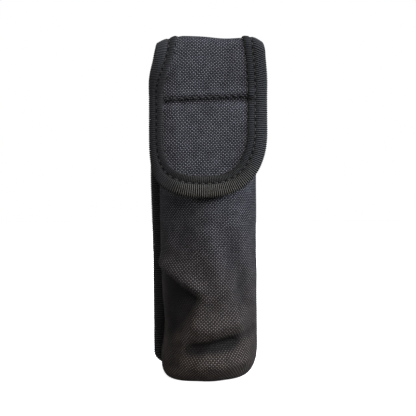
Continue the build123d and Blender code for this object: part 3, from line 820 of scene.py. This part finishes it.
def pouch_place(depth):
    """The pouch's outer face, out from the middle of its base and up to its mouth."""

    def place(along, v):
        phi = np.clip((v - FLOOR) / CORNER, 0, np.pi / 2)
        z = np.where(v < FLOOR + BEND, CORNER * (1 - np.cos(phi)), v - WALL)
        theta = np.clip(along / POUCH_R, -np.pi / 2, np.pi / 2)
        left, right = smooth(-np.sin(theta), 0.3, 0.95), smooth(np.sin(theta), 0.3, 0.95)
        round_in = CORNER * (1 - 0.64 * left - 0.40 * right)
        flat = v * (POUCH_R - round_in) / FLOOR
        inset = np.where(v < FLOOR, POUCH_R - flat, round_in * (1 - np.sin(phi)))
        r = np.maximum(POUCH_R - inset, 0.02)
        x = r * np.sin(theta)
        beyond = np.abs(along) - np.pi * POUCH_R / 2
        y = np.where(beyond > 0, beyond, -r * np.cos(theta))
        wall = np.sin(phi)
        push = crumple(x, z) * smooth(-y, -6.0, 10.0) * smooth(v, FLOOR * 0.6, FLOOR + BEND)
        push = push - 0.30 * bell(z, 32, 26) * (1 - smooth(-y, -6.0, 10.0))
        push = depth * push
        x = x + np.sin(theta) * wall * push
        y = y + np.where(beyond > 0, 0.0, -np.cos(theta)) * wall * push
        z = z - np.cos(phi) * np.minimum(push, 0.0)
        x = x + 1.2 * smooth(-x, 8, 22) * bell(z, 21, 10) + 0.8 * (1 - smooth(z, 0, 90)) * smooth(z, 0, 16)
        z = z + 0.0024 * (x + 4.0) ** 2 * (1 - smooth(z, 4, 20))
        return np.stack(np.broadcast_arrays(x, y, z), -1)

    return place


def build_pouch(sizes):
    """Front panel, lining, mouth tape with its stitches, and loop fastener."""
    at = surface(pouch_place(sizes.crease_depth / MM), -1.0)
    a = np.linspace(-REACH, REACH, 220)[None]
    b = np.linspace(0, MOUTH_Z + WALL - 0.3, 260)[:, None]
    panel = cloth("pouch_cloth", at, a, b, 0.9, FINISH["pouch"])
    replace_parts(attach(panel, "holster"), "front_panel")
    spots = np.empty(3 * len(panel.data.vertices))
    panel.data.vertices.foreach_get("co", spots)
    x, y, z = spots.reshape(-1, 3).T / MM
    # Painted shade mask: 1 where the crumples push the pouch's front in; the pouch nylon darkens its colour
    # there towards near-black.
    folded = np.clip(-1.4 * crumple(x, z), 0, 1) * smooth(-y, -6.0, 10.0)
    panel.data.attributes.new("painted_crease_shade", "FLOAT", "POINT").data.foreach_set("value", folded)
    cut_sheet(at, a, b)
    lining = cloth("pouch_lining", at, a[:, ::2], b[::2], 0.55, FINISH["lining"], -0.92)
    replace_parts(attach(lining, "holster"), "front_lining")
    cut_sheet(at, a[:, ::2], b[::2])
    across = np.linspace(-REACH + 0.2, REACH - 0.2, 300)
    rim = np.stack([across, np.full(300, MOUTH_Z + WALL - 1.2)], 1)
    into = np.broadcast_to((0.0, -1.0), rim.shape)
    tape = binding("mouth_tape", at, rim, into, 1.0, 1.05, sizes, FINISH["tape"], 1.7)
    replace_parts(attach(tape, "holster"), "mouth_binding")
    seam = 0.62 * sizes.tape_width / MM
    row = stitches("mouth_stitches", at, rim, into, seam, 0.42, sizes)
    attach(row, "holster")
    low, high = extent("loop_patch", Z)
    half = math.asin(min(0.95, extent("loop_patch", X)[1] / POUCH_R)) * POUCH_R
    a = np.linspace(-half, half, 60)[None]
    b = np.linspace(low, high, 50)[:, None] + WALL
    patch = cloth("loop_pile", at, a, b, 1.0, FINISH["loops"], 0.95)
    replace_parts(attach(patch, "holster"), "loop_patch")
    cut_sheet(at, a, b)


# ---- The back ----
BACK_CORNER = 6.0
BACK_LOW = 1.3
SPLIT_Z = 137.0
SEAM_DEPTH = 4.4


def back_half_at(z):
    """Half the back panel's width at that height, with its rounded lower corners."""
    up = np.clip(z - BACK_LOW, 0, BACK_CORNER)
    low = BACK_CORNER**2 - (BACK_CORNER - up) ** 2
    return BACK_HALF - BACK_CORNER + np.sqrt(np.maximum(low, 0.0))


def back_place(depth):
    """The back panel's outer face, depth in from its real outside."""

    def place(x, z):
        puff = 0.22 * np.sin(x / 8.0 + 0.5) * np.sin(z / 17.0)
        y = BACK_Y - depth + puff * (1 - smooth(z, 118, 132)) * smooth(24.0 - np.abs(x), 0.0, 6.0)
        lean = 0.8 * (1 - smooth(z, 0, 90))
        curl = 5.0 * smooth(-x, 18.0, 25.0) * (1 - smooth(z, 3.0, 22.0))
        wide = 0.9 * smooth(-x, 17.0, 25.0) * bell(z, 95.0, 24.0)
        return np.stack(np.broadcast_arrays(x + lean - wide, y - curl, z), -1)

    return place


def build_back(sizes):
    """Back panel, inner lining, edge tape with its stitches."""
    at, under = surface(back_place(0.0)), surface(back_place(1.15))
    z = BACK_LOW + 0.02 + (SPLIT_Z - BACK_LOW) * np.linspace(0, 1, 110)[:, None] ** 1.4
    x = back_half_at(z) * np.linspace(1, -1, 50)[None]
    panel = cloth("back_cloth", at, x, z, 1.1, FINISH["flap"])
    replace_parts(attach(panel, "holster"), "back_panel")
    cut_sheet(at, x, z)
    inner = cloth("back_padding", under, x, z, SEAM_DEPTH - 1.3, FINISH["lining"])
    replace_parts(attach(inner, "holster"), "back_lining", "back_stiffener")
    turn = np.linspace(0, np.pi / 2, 24)[1:]
    half, low = BACK_HALF, BACK_LOW
    down = np.stack([np.full(60, -half), np.linspace(SPLIT_Z, low + BACK_CORNER, 60)], 1)
    bend = np.stack([-half + BACK_CORNER * (1 - np.cos(turn)), low + BACK_CORNER * (1 - np.sin(turn))], 1)
    base = np.stack([np.linspace(-half + BACK_CORNER, 0, 14)[1:], np.full(13, low)], 1)
    side = np.concatenate([down, bend, base])
    line = np.concatenate([side, side[::-1][1:] * (-1, 1)])
    line, _ = resample(line, 0.4)
    into = inward(line, (0.0, 70.0))
    half_depth = SEAM_DEPTH / 2 * (1 - 0.32 * smooth(line[:, 1], 116, SPLIT_Z))
    core = SEAM_DEPTH / 2
    tape = binding("edge_tape", at, line, into, half_depth, core, sizes, FINISH["tape"], 0.4)
    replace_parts(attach(tape, "holster"), "edge_binding")
    seam = 0.62 * sizes.tape_width / MM
    for name, high in (("back_stitches", 0.45), ("front_stitches", -SEAM_DEPTH - 0.45)):
        row = stitches(name, at, line, into, seam, high, sizes)
        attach(row, "holster")


# ---- The flap ----
BACK_BEND, FRONT_BEND = 4.2, 5.0
FLAP_TOP = TOP_Z + 0.2
KNOTS = np.cumsum(
    [
        0,
        FLAP_TOP - BACK_BEND - SPLIT_Z,
        np.pi * BACK_BEND / 2,
        BACK_Y - BACK_BEND - COVER_Y - FRONT_BEND,
        np.pi * FRONT_BEND / 2,
    ]
)
HANG = KNOTS[4] + FLAP_TOP - FRONT_BEND
MEET = (KNOTS[2] + KNOTS[3]) / 2
FLAP_CORE = 1.1


def flap_sides(q):
    """How far the flap reaches left and right of the middle, along it."""
    past = q - KNOTS[3]
    back = 1 - smooth(q, 0.0, KNOTS[2] + 6.0)
    left = 23.2 + 6.3 * smooth(past, 1.0, 28.0)
    right = 20.8 + 1.6 * smooth(past, 0.0, 24.0)
    return left + (BACK_HALF - 23.2) * back, right + (BACK_HALF - 20.8) * back


def flap_place(s, q):
    """The flap's outer face, q along it from the back's top and s to the right."""
    s, q = np.broadcast_arrays(np.asarray(s, float), np.asarray(q, float))
    one, two = (q - KNOTS[1]) / BACK_BEND, (q - KNOTS[3]) / FRONT_BEND
    where = [q < KNOTS[1], q < KNOTS[2], q < KNOTS[3], q < KNOTS[4]]
    y = np.select(
        where,
        [
            BACK_Y + 0 * q,
            BACK_Y - BACK_BEND + BACK_BEND * np.cos(one),
            BACK_Y - BACK_BEND - (q - KNOTS[2]),
            COVER_Y + FRONT_BEND - FRONT_BEND * np.sin(two),
        ],
        COVER_Y,
    )
    z = np.select(
        where,
        [
            SPLIT_Z + q,
            FLAP_TOP - BACK_BEND + BACK_BEND * np.sin(one),
            FLAP_TOP + 0 * q,
            FLAP_TOP - FRONT_BEND + FRONT_BEND * np.cos(two),
        ],
        HANG - q,
    )
    past, down = q - KNOTS[3], FLAP_TOP - z
    grown = smooth(past, 2.0, 30.0)
    hug = 12.0
    bend = np.clip((-15.0 - s) / hug, 0, 1.5)
    x = np.where(bend > 0, s + (-15.0 - hug * np.sin(bend) - s) * grown, s)
    y = y + hug * (1 - np.cos(bend)) * grown
    y = y + 0.020 * np.clip(s - 12.0, 0, None) ** 2 * grown
    round_middle = np.clip(1 - (s / 30.0) ** 2, 0, 1)
    y = y - 0.9 * bell(down, 13.0, 7.0) * round_middle * smooth(past, 0, 6)
    y = y - 0.7 * bell(down, 42.0, 14.0) * round_middle
    step = down - (26.4 - 0.061 * s)
    inside = smooth(20.0 - np.abs(s + 2.6), 0.0, 3.0) * smooth(past, 6, 9)
    y = y + inside * (1.75 * bell(step, 1.7, 1.5) - 0.55 * bell(step, -1.4, 1.4))
    top = smooth(q, KNOTS[2] - 1.0, KNOTS[2] + 16.0) * (1 - smooth(down, 4.0, 26.0))
    z = z - top * (5.0 * smooth(-s, 12.0, 27.0) + 3.2 * smooth(s, 14.0, 23.0) + 0.7 * bell(s, 5.0, 7.0))
    ripple = 0.13 * np.sin(s / 4.0 + q / 9.0) + 0.11 * np.sin(q / 5.0 - s / 6.0)
    y = y + ripple * smooth(past, -2, 8)
    return np.stack([x, y, z], -1)


def flap_outline(end, count=900):
    """The flap's cut edge in flat cloth: down its left side, round its end and up its right."""
    turn = np.linspace(-1, 1, count)
    f = np.sin(turn * np.pi / 2)
    power = np.where(f < 0, 2.7, 2.3)
    drop = 28.0 * (1 - (1 - np.abs(f) ** power) ** (1 / power))
    q = HANG - (end + drop)
    left, right = flap_sides(q)
    s = (right - left) / 2 + (right + left) / 2 * f
    rows = np.linspace(MEET, q[0], 160)[:-1]
    left, right = flap_sides(rows)
    down = np.stack([-left, rows], 1)
    up = np.stack([right, rows], 1)[::-1]
    return np.concatenate([down, np.stack([s, q], 1), up]), f, q


def build_flap(sizes):
    """The flap's top and front: nylon, lining, edge tape, stitches, cross seam and hooks."""
    end = sizes.flap_end / MM
    width = sizes.tape_width / MM
    seam = 0.62 * width
    at = surface(flap_place)

    def top_part(piece):
        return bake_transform(piece)

    def front_part(piece):
        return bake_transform(piece)

    q = np.linspace(0.0, MEET, 90)[:, None]
    left, right = flap_sides(q)
    f = np.linspace(-1, 1, 60)[None]
    s = (right - left) / 2 + (right + left) / 2 * f
    top = cloth("flap_top_cloth", at, s, q, 1.1, FINISH["flap"])
    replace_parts(top, "bridge_shell")
    cut_sheet(at, s, q)
    under = cloth("flap_top_lining", at, s, q, 1.0, FINISH["lining"], -1.15)
    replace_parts(under, "bridge_lining")
    cut_sheet(at, s, q)
    top_part(top)
    top_part(under)
    rows = np.linspace(0.0, MEET, 200)
    left, right = flap_sides(rows)
    half = 1.15 + 0.35 * (1 - smooth(rows, 0.0, 10.0))
    for word, edge in (("left", -left), ("right", right)):
        line = np.stack([edge, rows], 1)
        into = inward(line, (0.0, MEET / 2))
        wears = FINISH["flap_tape"]
        tape = binding(f"flap_top_tape_{word}", at, line, into, half, FLAP_CORE, sizes, wears, 2.1)
        if word == "left":
            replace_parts(tape, "bridge_binding")
        top_part(tape)
        for part, offset, high in (
            ("outer", seam, 0.45),
            ("second", width + 0.15, 0.12),
            ("inner", seam, -2 * FLAP_CORE - 0.45),
        ):
            row = stitches(f"flap_top_{part}_stitches_{word}", at, line, into, offset, high, sizes)
            top_part(row)

    line, f, last = flap_outline(end)
    f = np.sin(np.linspace(-1, 1, 150) * np.pi / 2)[None]
    last = np.interp(f[0], np.sin(np.linspace(-1, 1, len(last)) * np.pi / 2), last)[None]
    q = MEET + (last - MEET) * np.linspace(0, 1, 250)[:, None]
    left, right = flap_sides(q)
    s = (right - left) / 2 + (right + left) / 2 * f
    front = cloth("flap_front_cloth", at, s, q, 1.1, FINISH["flap"])
    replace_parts(front, "cover_shell", "cover_stiffener")
    cut_sheet(at, s, q)
    under = cloth("flap_front_lining", at, s[::2, ::2], q[::2, ::2], 1.0, FINISH["lining"], -1.15)
    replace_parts(under, "cover_lining")
    cut_sheet(at, s[::2, ::2], q[::2, ::2])
    front_part(front)
    front_part(under)
    line, _ = resample(line, 0.4)
    inside = np.stack([np.full(len(line), -2.0), np.minimum(line[:, 1], HANG - end - 28.0)], 1)
    into = inward(line, inside)
    tape = binding("flap_front_tape", at, line, into, 1.15, FLAP_CORE, sizes, FINISH["flap_tape"], 0.9)
    front_part(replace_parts(tape, "cover_binding"))
    for name, offset, high in (
        ("flap_outer_stitches", seam, 0.45),
        ("flap_inner_stitches", seam, -2 * FLAP_CORE - 0.45),
        ("flap_second_stitches", width + 0.15, 0.12),
    ):
        row = stitches(name, at, line, into, offset, high, sizes)
        front_part(row)
    s = np.linspace(-20.5, 13.4, 120)
    q = HANG - FLAP_TOP + 26.4 - 0.061 * s
    line = np.stack([s, q], 1)
    into = np.broadcast_to((0.0, 1.0), line.shape)
    row = stitches("cross_seam_stitches", at, line, into, 0.0, 0.14, sizes, 0.30, 0.8, 0.5, 0.45)
    front_part(row)

    low, high = extent("hook_patch", Z)
    wide = extent("hook_patch", X)[1]
    s = np.linspace(-wide, wide, 24)[None]
    q = HANG - np.linspace(high, low, 30)[:, None]
    hooks = cloth("hook_field", at, s, q, 0.9, FINISH["hooks"], -2.2)
    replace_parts(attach(hooks, "flap_cover"), "hook_patch")
    cut_sheet(at, s, q)


# ---- Belt loop and D-ring tab ----
def strap_surface(corners, rounding):
    """The outer face of a strap that follows (y, z) corners from its upper end, and its length."""
    points = []
    corners = [np.array(c, float) for c in corners]
    for i, c in enumerate(corners):
        if i in (0, len(corners) - 1):
            points.append(c)
            continue
        before, after = unit(corners[i - 1] - c), unit(corners[i + 1] - c)
        for t in np.linspace(0, 1, 9):
            start, stop = c + before * rounding, c + after * rounding
            points.append((1 - t) ** 2 * start + 2 * t * (1 - t) * c + t * t * stop)
    line, t = resample(np.array(points), 0.3)
    along = unit(np.gradient(line, axis=0))

    def at(a, b):
        y, z = np.interp(b, t, line[:, 0]), np.interp(b, t, line[:, 1])
        ay, az = -np.interp(b, t, along[:, 1]), np.interp(b, t, along[:, 0])
        size = np.hypot(ay, az)
        p = np.stack(np.broadcast_arrays(a, y, z), -1)
        n = np.stack(np.broadcast_arrays(0 * a, ay / size, az / size), -1)
        return p, n

    return at, t[-1]


def box_line(x, low, high):
    """A stitched box with a cross in it, in cloth coordinates."""
    corners = [(-x, low), (x, low), (x, high), (-x, high), (-x, low), (x, high)]
    line, _ = resample(np.array(corners, float), 0.5)
    along = unit(np.gradient(line, axis=0))
    return line, np.stack([-along[:, 1], along[:, 0]], 1)


def webbing_strap(name, corners, width, thickness, rounding, node):
    """A woven strap on the back, built at one even thickness."""
    at, length = strap_surface(corners, rounding)
    a = np.linspace(-width / 2, width / 2, 26)[None]
    b = np.linspace(0, length, max(20, int(length / 0.6)))[:, None]
    piece = cloth(name, at, a, b, thickness, FINISH["webbing"])
    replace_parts(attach(piece, "holster"), node)
    cut_sheet(at, a, b)
    return at, length


def build_belt_side(sizes):
    """Webbing belt loop with box stitches, and the D-ring's webbing tab."""
    low, high = extent("belt_loop", Z)
    out = extent("belt_loop", Y)[1]
    sewn, slant, thick = 12.0, 6.0, 1.6
    back = BACK_Y + 0.2 + thick
    corners = [
        (back, high),
        (back, high - sewn),
        (out, high - sewn - slant),
        (out, low + sewn + slant),
        (back, low + sewn),
        (back, low),
    ]
    at, length = webbing_strap("belt_webbing", corners, 25.0, thick, 2.5, "belt_loop")
    for word, start in (("high", 1.5), ("low", length - sewn + 2.0)):
        line, into = box_line(10.5, start, start + 8.5)
        row = stitches(f"belt_box_{word}", at, line, into, 0.0, 0.12, sizes)
        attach(row, "holster")
    bottom, top = extent("d_ring_tab", Z)
    ring_r = (extent("d_ring_tab", Y)[1] - BACK_Y) / 2 - 0.1
    ring_y, ring_z = BACK_Y + ring_r, bottom + ring_r
    face = BACK_Y + 2.3
    turn = np.linspace(0.55, 2 * np.pi - 1.9, 30)
    round_wire = [(ring_y + ring_r * np.sin(a), ring_z + ring_r * np.cos(a)) for a in turn]
    corners = [(face, top), (face, ring_z + ring_r + 1.6)] + round_wire
    at, length = webbing_strap("ring_tab_webbing", corners, 17.0, 1.05, 0.2, "d_ring_tab")
    line, into = box_line(7.0, 1.2, top - ring_z - ring_r - 2.2)
    row = stitches("ring_tab_stitches", at, line, into, 0.0, 0.12, sizes)
    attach(row, "holster")


# ---- The flashlight ----
SPRING_WIRE = 0.35
WEARS = {
    "d_ring": "black_steel",
    "bezel_ring": "anodised",
    "lens": "lens",
    "lens_gasket": "seal",
    "reflector": "mirror",
    "led_spacer": "white_moulding",
    "led_emitter": "phosphor",
    "led_board": "white_board",
    "driver_holder": "brass",
    "driver_board": "board",
    "front_spring": "gold",
    "head_shell": "anodised",
    "head_o_ring": "seal",
    "body_tube": "knurled",
    "pocket_clip": "black_steel",
    "battery_cell": "sleeve",
    "grip_ring": "anodised",
    "tail_o_ring": "seal",
    "tail_cap": "anodised",
    "tail_spring": "gold",
    "retaining_ring": "brass",
    "switch_board": "board",
    "switch_housing": "moulding",
    "boot_spacer": "moulding",
    "switch_plunger": "red",
}


def build_switch_spring():
    """The switch's return spring, built at one length; the real one shortens as the button goes in."""
    low, high = extent("switch_spring", Z)
    outer = extent("switch_spring", X)[1]
    wire, turns, steps, around = SPRING_WIRE / 2, 2.5, 120, 10
    a = np.linspace(0, 2 * np.pi * turns, steps)
    r = outer - wire
    middle = np.stack([r * np.cos(a), r * np.sin(a), np.linspace(low + wire, high - wire, steps)], -1)
    out = np.stack([np.cos(a), np.sin(a), 0 * a], -1)
    up = np.broadcast_to((0.0, 0.0, 1.0), out.shape)
    turn = np.linspace(0, 2 * np.pi, around, endpoint=False)
    ring = np.cos(turn)[None, :, None] * out[:, None] + np.sin(turn)[None, :, None] * up[:, None]
    points = middle[:, None] + wire * ring
    index = np.arange(steps * around).reshape(steps, around)
    faces = quads(np.concatenate([index, index[:, :1]], 1)).tolist()
    faces += [index[0].tolist(), index[-1].tolist()]
    spring = new_piece("switch_return_spring", points.reshape(-1, 3), faces, FINISH["steel"])
    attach(spring, "tail_cap")
    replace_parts(spring, "switch_spring")
    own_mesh(spring)


def build_light():
    """Finishes on the flashlight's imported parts, its switch spring and its ribbed rubber boot."""
    build_switch_spring()
    for node, finish in WEARS.items():
        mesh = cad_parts[node].data
        mesh.materials.clear()
        mesh.materials.append(FINISH[finish])
    low, high = extent("rubber_boot", Z)
    radius = 7.0 - 0.2
    skirt = extent("rubber_boot", X)[1]
    crown = 3.0
    turn = np.linspace(0, np.pi / 2, 12)
    outside = [(skirt, low), (skirt, low + 1.25), (radius, low + 1.3), (radius, low + 2.2)]
    outside += [(radius - crown + crown * np.cos(a), high - crown + crown * np.sin(a)) for a in turn]
    relief = []
    for r in np.linspace(radius - crown, 0.02, 40):
        groove = 0.14 * np.cos(2 * np.pi * r / 1.3) if r < 3.6 else 0.0
        relief.append((r, high - 0.14 + groove))
    inside = [(0.02, high - 1.25), (3.6, high - 1.25)]
    hollow = np.linspace(0.3, np.pi / 2, 6)
    inside += [(3.6 + 1.9 * np.sin(a), high - 3.1 + 1.85 * np.cos(a)) for a in hollow]
    inside += [(5.5, low)]
    profile = np.array(outside + relief + inside)
    a = np.linspace(0, 2 * np.pi, 64, endpoint=False)
    r, z = profile[:, :1], profile[:, 1:2]
    points = np.stack(np.broadcast_arrays(r * np.cos(a), r * np.sin(a), z), -1)
    index = np.arange(len(profile) * 64).reshape(-1, 64)
    around = np.concatenate([index, index[:, :1]], 1)
    around = np.concatenate([around, around[:1]], 0)
    boot = new_piece("tail_boot", points.reshape(-1, 3), quads(around)[:, ::-1], FINISH["rubber"])
    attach(boot, "tail_cap")
    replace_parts(boot, "rubber_boot")
    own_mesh(boot)


# ---- The studio ----
def build_stage(colours):
    """Pale floor, soft lights and the camera."""
    material, n, shader = start_material("studio_floor", 0.9)
    where = n.make("ShaderNodeTexCoord").outputs["Object"]
    seen = n.make("ShaderNodeLightPath").outputs["Is Camera Ray"]
    pale = tuple(colours.floor)
    tone = n.mix(n.noise(where, 3.0, 2.0), tuple(0.99 * c for c in pale), pale)
    n.join(n.mix(seen, (0.09, 0.09, 0.09), tone), shader.inputs["Base Color"])
    n.join(n.mix(seen, (0.0, 0.0, 0.0), (0.85, 0.85, 0.85)), shader.inputs["Emission Color"])
    shader.inputs["Emission Strength"].default_value = 1.0
    r = 3000.0
    corners = [(-r, -r, 0), (r, -r, 0), (r, r, 0), (-r, r, 0)]
    floor = new_piece("studio_floor", corners, [(0, 1, 2, 3)], material)
    world = bpy.data.worlds.new("studio")
    bpy.context.scene.world = world
    world.use_nodes = True
    n = Nodes(world.node_tree)
    split = n.make("ShaderNodeSeparateXYZ")
    n.join(n.make("ShaderNodeTexCoord").outputs["Generated"], split.inputs[0])
    sky = n.mix(n.ramp(split.outputs["Z"], 0.0, 1.0), (0.05, 0.05, 0.052), (0.34, 0.35, 0.37))
    seen = n.make("ShaderNodeLightPath").outputs["Is Camera Ray"]
    n.join(n.mix(seen, sky, (1.0, 1.0, 1.0)), world.node_tree.nodes["Background"].inputs["Color"])
    world.node_tree.nodes["Background"].inputs["Strength"].default_value = 1.0
    sun = bpy.data.lights.new("sky_glow", "SUN")
    sun.energy, sun.angle, sun.color = 3.7, math.radians(30.0), (0.98, 0.98, 1.0)
    glow = bpy.data.objects.new("sky_glow", sun)
    glow.rotation_euler = (math.radians(64.0), 0.0, math.radians(32.0))
    bpy.context.scene.collection.objects.link(glow)
    for name, place, size, power, tint in (
        ("key", (0.52, -0.12, 0.34), 0.22, 5.0, (0.78, 0.87, 1.0)),
        ("fill", (-0.85, -0.45, 0.20), 0.4, 3.0, (1.0, 0.96, 0.93)),
        ("low_warm", (0.1, -0.6, 0.02), 0.3, 0.25, (1.0, 0.78, 0.60)),
        ("back_glow", (0.02, 0.85, 0.30), 0.40, 5.0, (1.0, 1.0, 1.0)),
    ):
        lamp = bpy.data.lights.new(name, "AREA")
        lamp.size, lamp.energy, lamp.color = size, power, tint
        spot = bpy.data.objects.new(name, lamp)
        spot.location = place
        spot.rotation_mode = "QUATERNION"
        spot.rotation_quaternion = (Vector((0.0, 0.0, 0.075)) - Vector(place)).to_track_quat("-Z", "Y")
        bpy.context.scene.collection.objects.link(spot)
    camera = bpy.data.objects.new("camera", bpy.data.cameras.new("camera"))
    camera.data.lens = 55.5
    bpy.context.scene.collection.objects.link(camera)
    bpy.context.scene.camera = camera
    away = math.radians(-5.0)
    centre = Vector((0.0, 0.0, 0.0760))
    back = Vector((math.sin(away), -math.cos(away), 0.0))
    camera.location = centre + back * 0.295
    camera.rotation_mode = "QUATERNION"
    camera.rotation_quaternion = (-back).to_track_quat("-Z", "Y")
    camera.data.clip_start, camera.data.clip_end = 0.01, 20.0
    bpy.context.scene.view_settings.view_transform = "Standard"


# ---- Operators and panel ----
class HOLSTER_OT_finishes(bpy.types.Operator):
    """Make the cloth, tape, rubber and metal materials"""

    bl_idname = "holster.finishes"
    bl_label = "Finishes"

    def execute(self, context):
        make_finishes(context.scene.holster_colours, context.scene.holster_sizes)
        return {"FINISHED"}


class HOLSTER_OT_pouch(bpy.types.Operator):
    """Build the pouch's nylon, lining, mouth tape and loop fastener"""

    bl_idname = "holster.pouch"
    bl_label = "Pouch"

    def execute(self, context):
        build_pouch(context.scene.holster_sizes)
        return {"FINISHED"}


class HOLSTER_OT_back(bpy.types.Operator):
    """Build the back panel and its edge tape"""

    bl_idname = "holster.back"
    bl_label = "Back"

    def execute(self, context):
        build_back(context.scene.holster_sizes)
        return {"FINISHED"}


class HOLSTER_OT_flap(bpy.types.Operator):
    """Build the flap with its tape, stitches and hook fastener"""

    bl_idname = "holster.flap"
    bl_label = "Flap"

    def execute(self, context):
        build_flap(context.scene.holster_sizes)
        return {"FINISHED"}


class HOLSTER_OT_belt_side(bpy.types.Operator):
    """Build the belt loop and the D-ring's tab"""

    bl_idname = "holster.belt_side"
    bl_label = "Belt side"

    def execute(self, context):
        build_belt_side(context.scene.holster_sizes)
        return {"FINISHED"}


class HOLSTER_OT_light(bpy.types.Operator):
    """Finish the flashlight's parts and build its rubber boot"""

    bl_idname = "holster.light"
    bl_label = "Flashlight"

    def execute(self, context):
        build_light()
        return {"FINISHED"}


class HOLSTER_OT_stage(bpy.types.Operator):
    """Set up the floor, the lights and the camera"""

    bl_idname = "holster.stage"
    bl_label = "Stage"

    def execute(self, context):
        build_stage(context.scene.holster_colours)
        return {"FINISHED"}


STEPS = ("finishes", "pouch", "back", "flap", "belt_side", "light", "stage")


class HOLSTER_PT_panel(bpy.types.Panel):
    """Lists the holster's steps with their sizes and colours"""

    bl_idname = "HOLSTER_PT_panel"
    bl_label = "Belt holster"
    bl_space_type = "VIEW_3D"
    bl_region_type = "UI"
    bl_category = "Holster"

    def draw(self, context):
        for step in STEPS:
            self.layout.operator(f"holster.{step}")
        for group in (context.scene.holster_sizes, context.scene.holster_colours):
            for name in group.__annotations__:
                self.layout.prop(group, name)


CLASSES = (
    HolsterSizes,
    HolsterColours,
    HOLSTER_OT_finishes,
    HOLSTER_OT_pouch,
    HOLSTER_OT_back,
    HOLSTER_OT_flap,
    HOLSTER_OT_belt_side,
    HOLSTER_OT_light,
    HOLSTER_OT_stage,
    HOLSTER_PT_panel,
)


def register():
    """Registers the classes and their settings."""
    for one in CLASSES:
        bpy.utils.register_class(one)
    bpy.types.Scene.holster_sizes = bpy.props.PointerProperty(type=HolsterSizes)
    bpy.types.Scene.holster_colours = bpy.props.PointerProperty(type=HolsterColours)


def unregister():
    """Takes the classes and their settings away."""
    del bpy.types.Scene.holster_colours
    del bpy.types.Scene.holster_sizes
    for one in reversed(CLASSES):
        bpy.utils.unregister_class(one)


def main():
    """Builds everything in order."""
    register()
    for step in STEPS:
        getattr(bpy.ops.holster, step)()


if __name__ == "__main__":
    main()
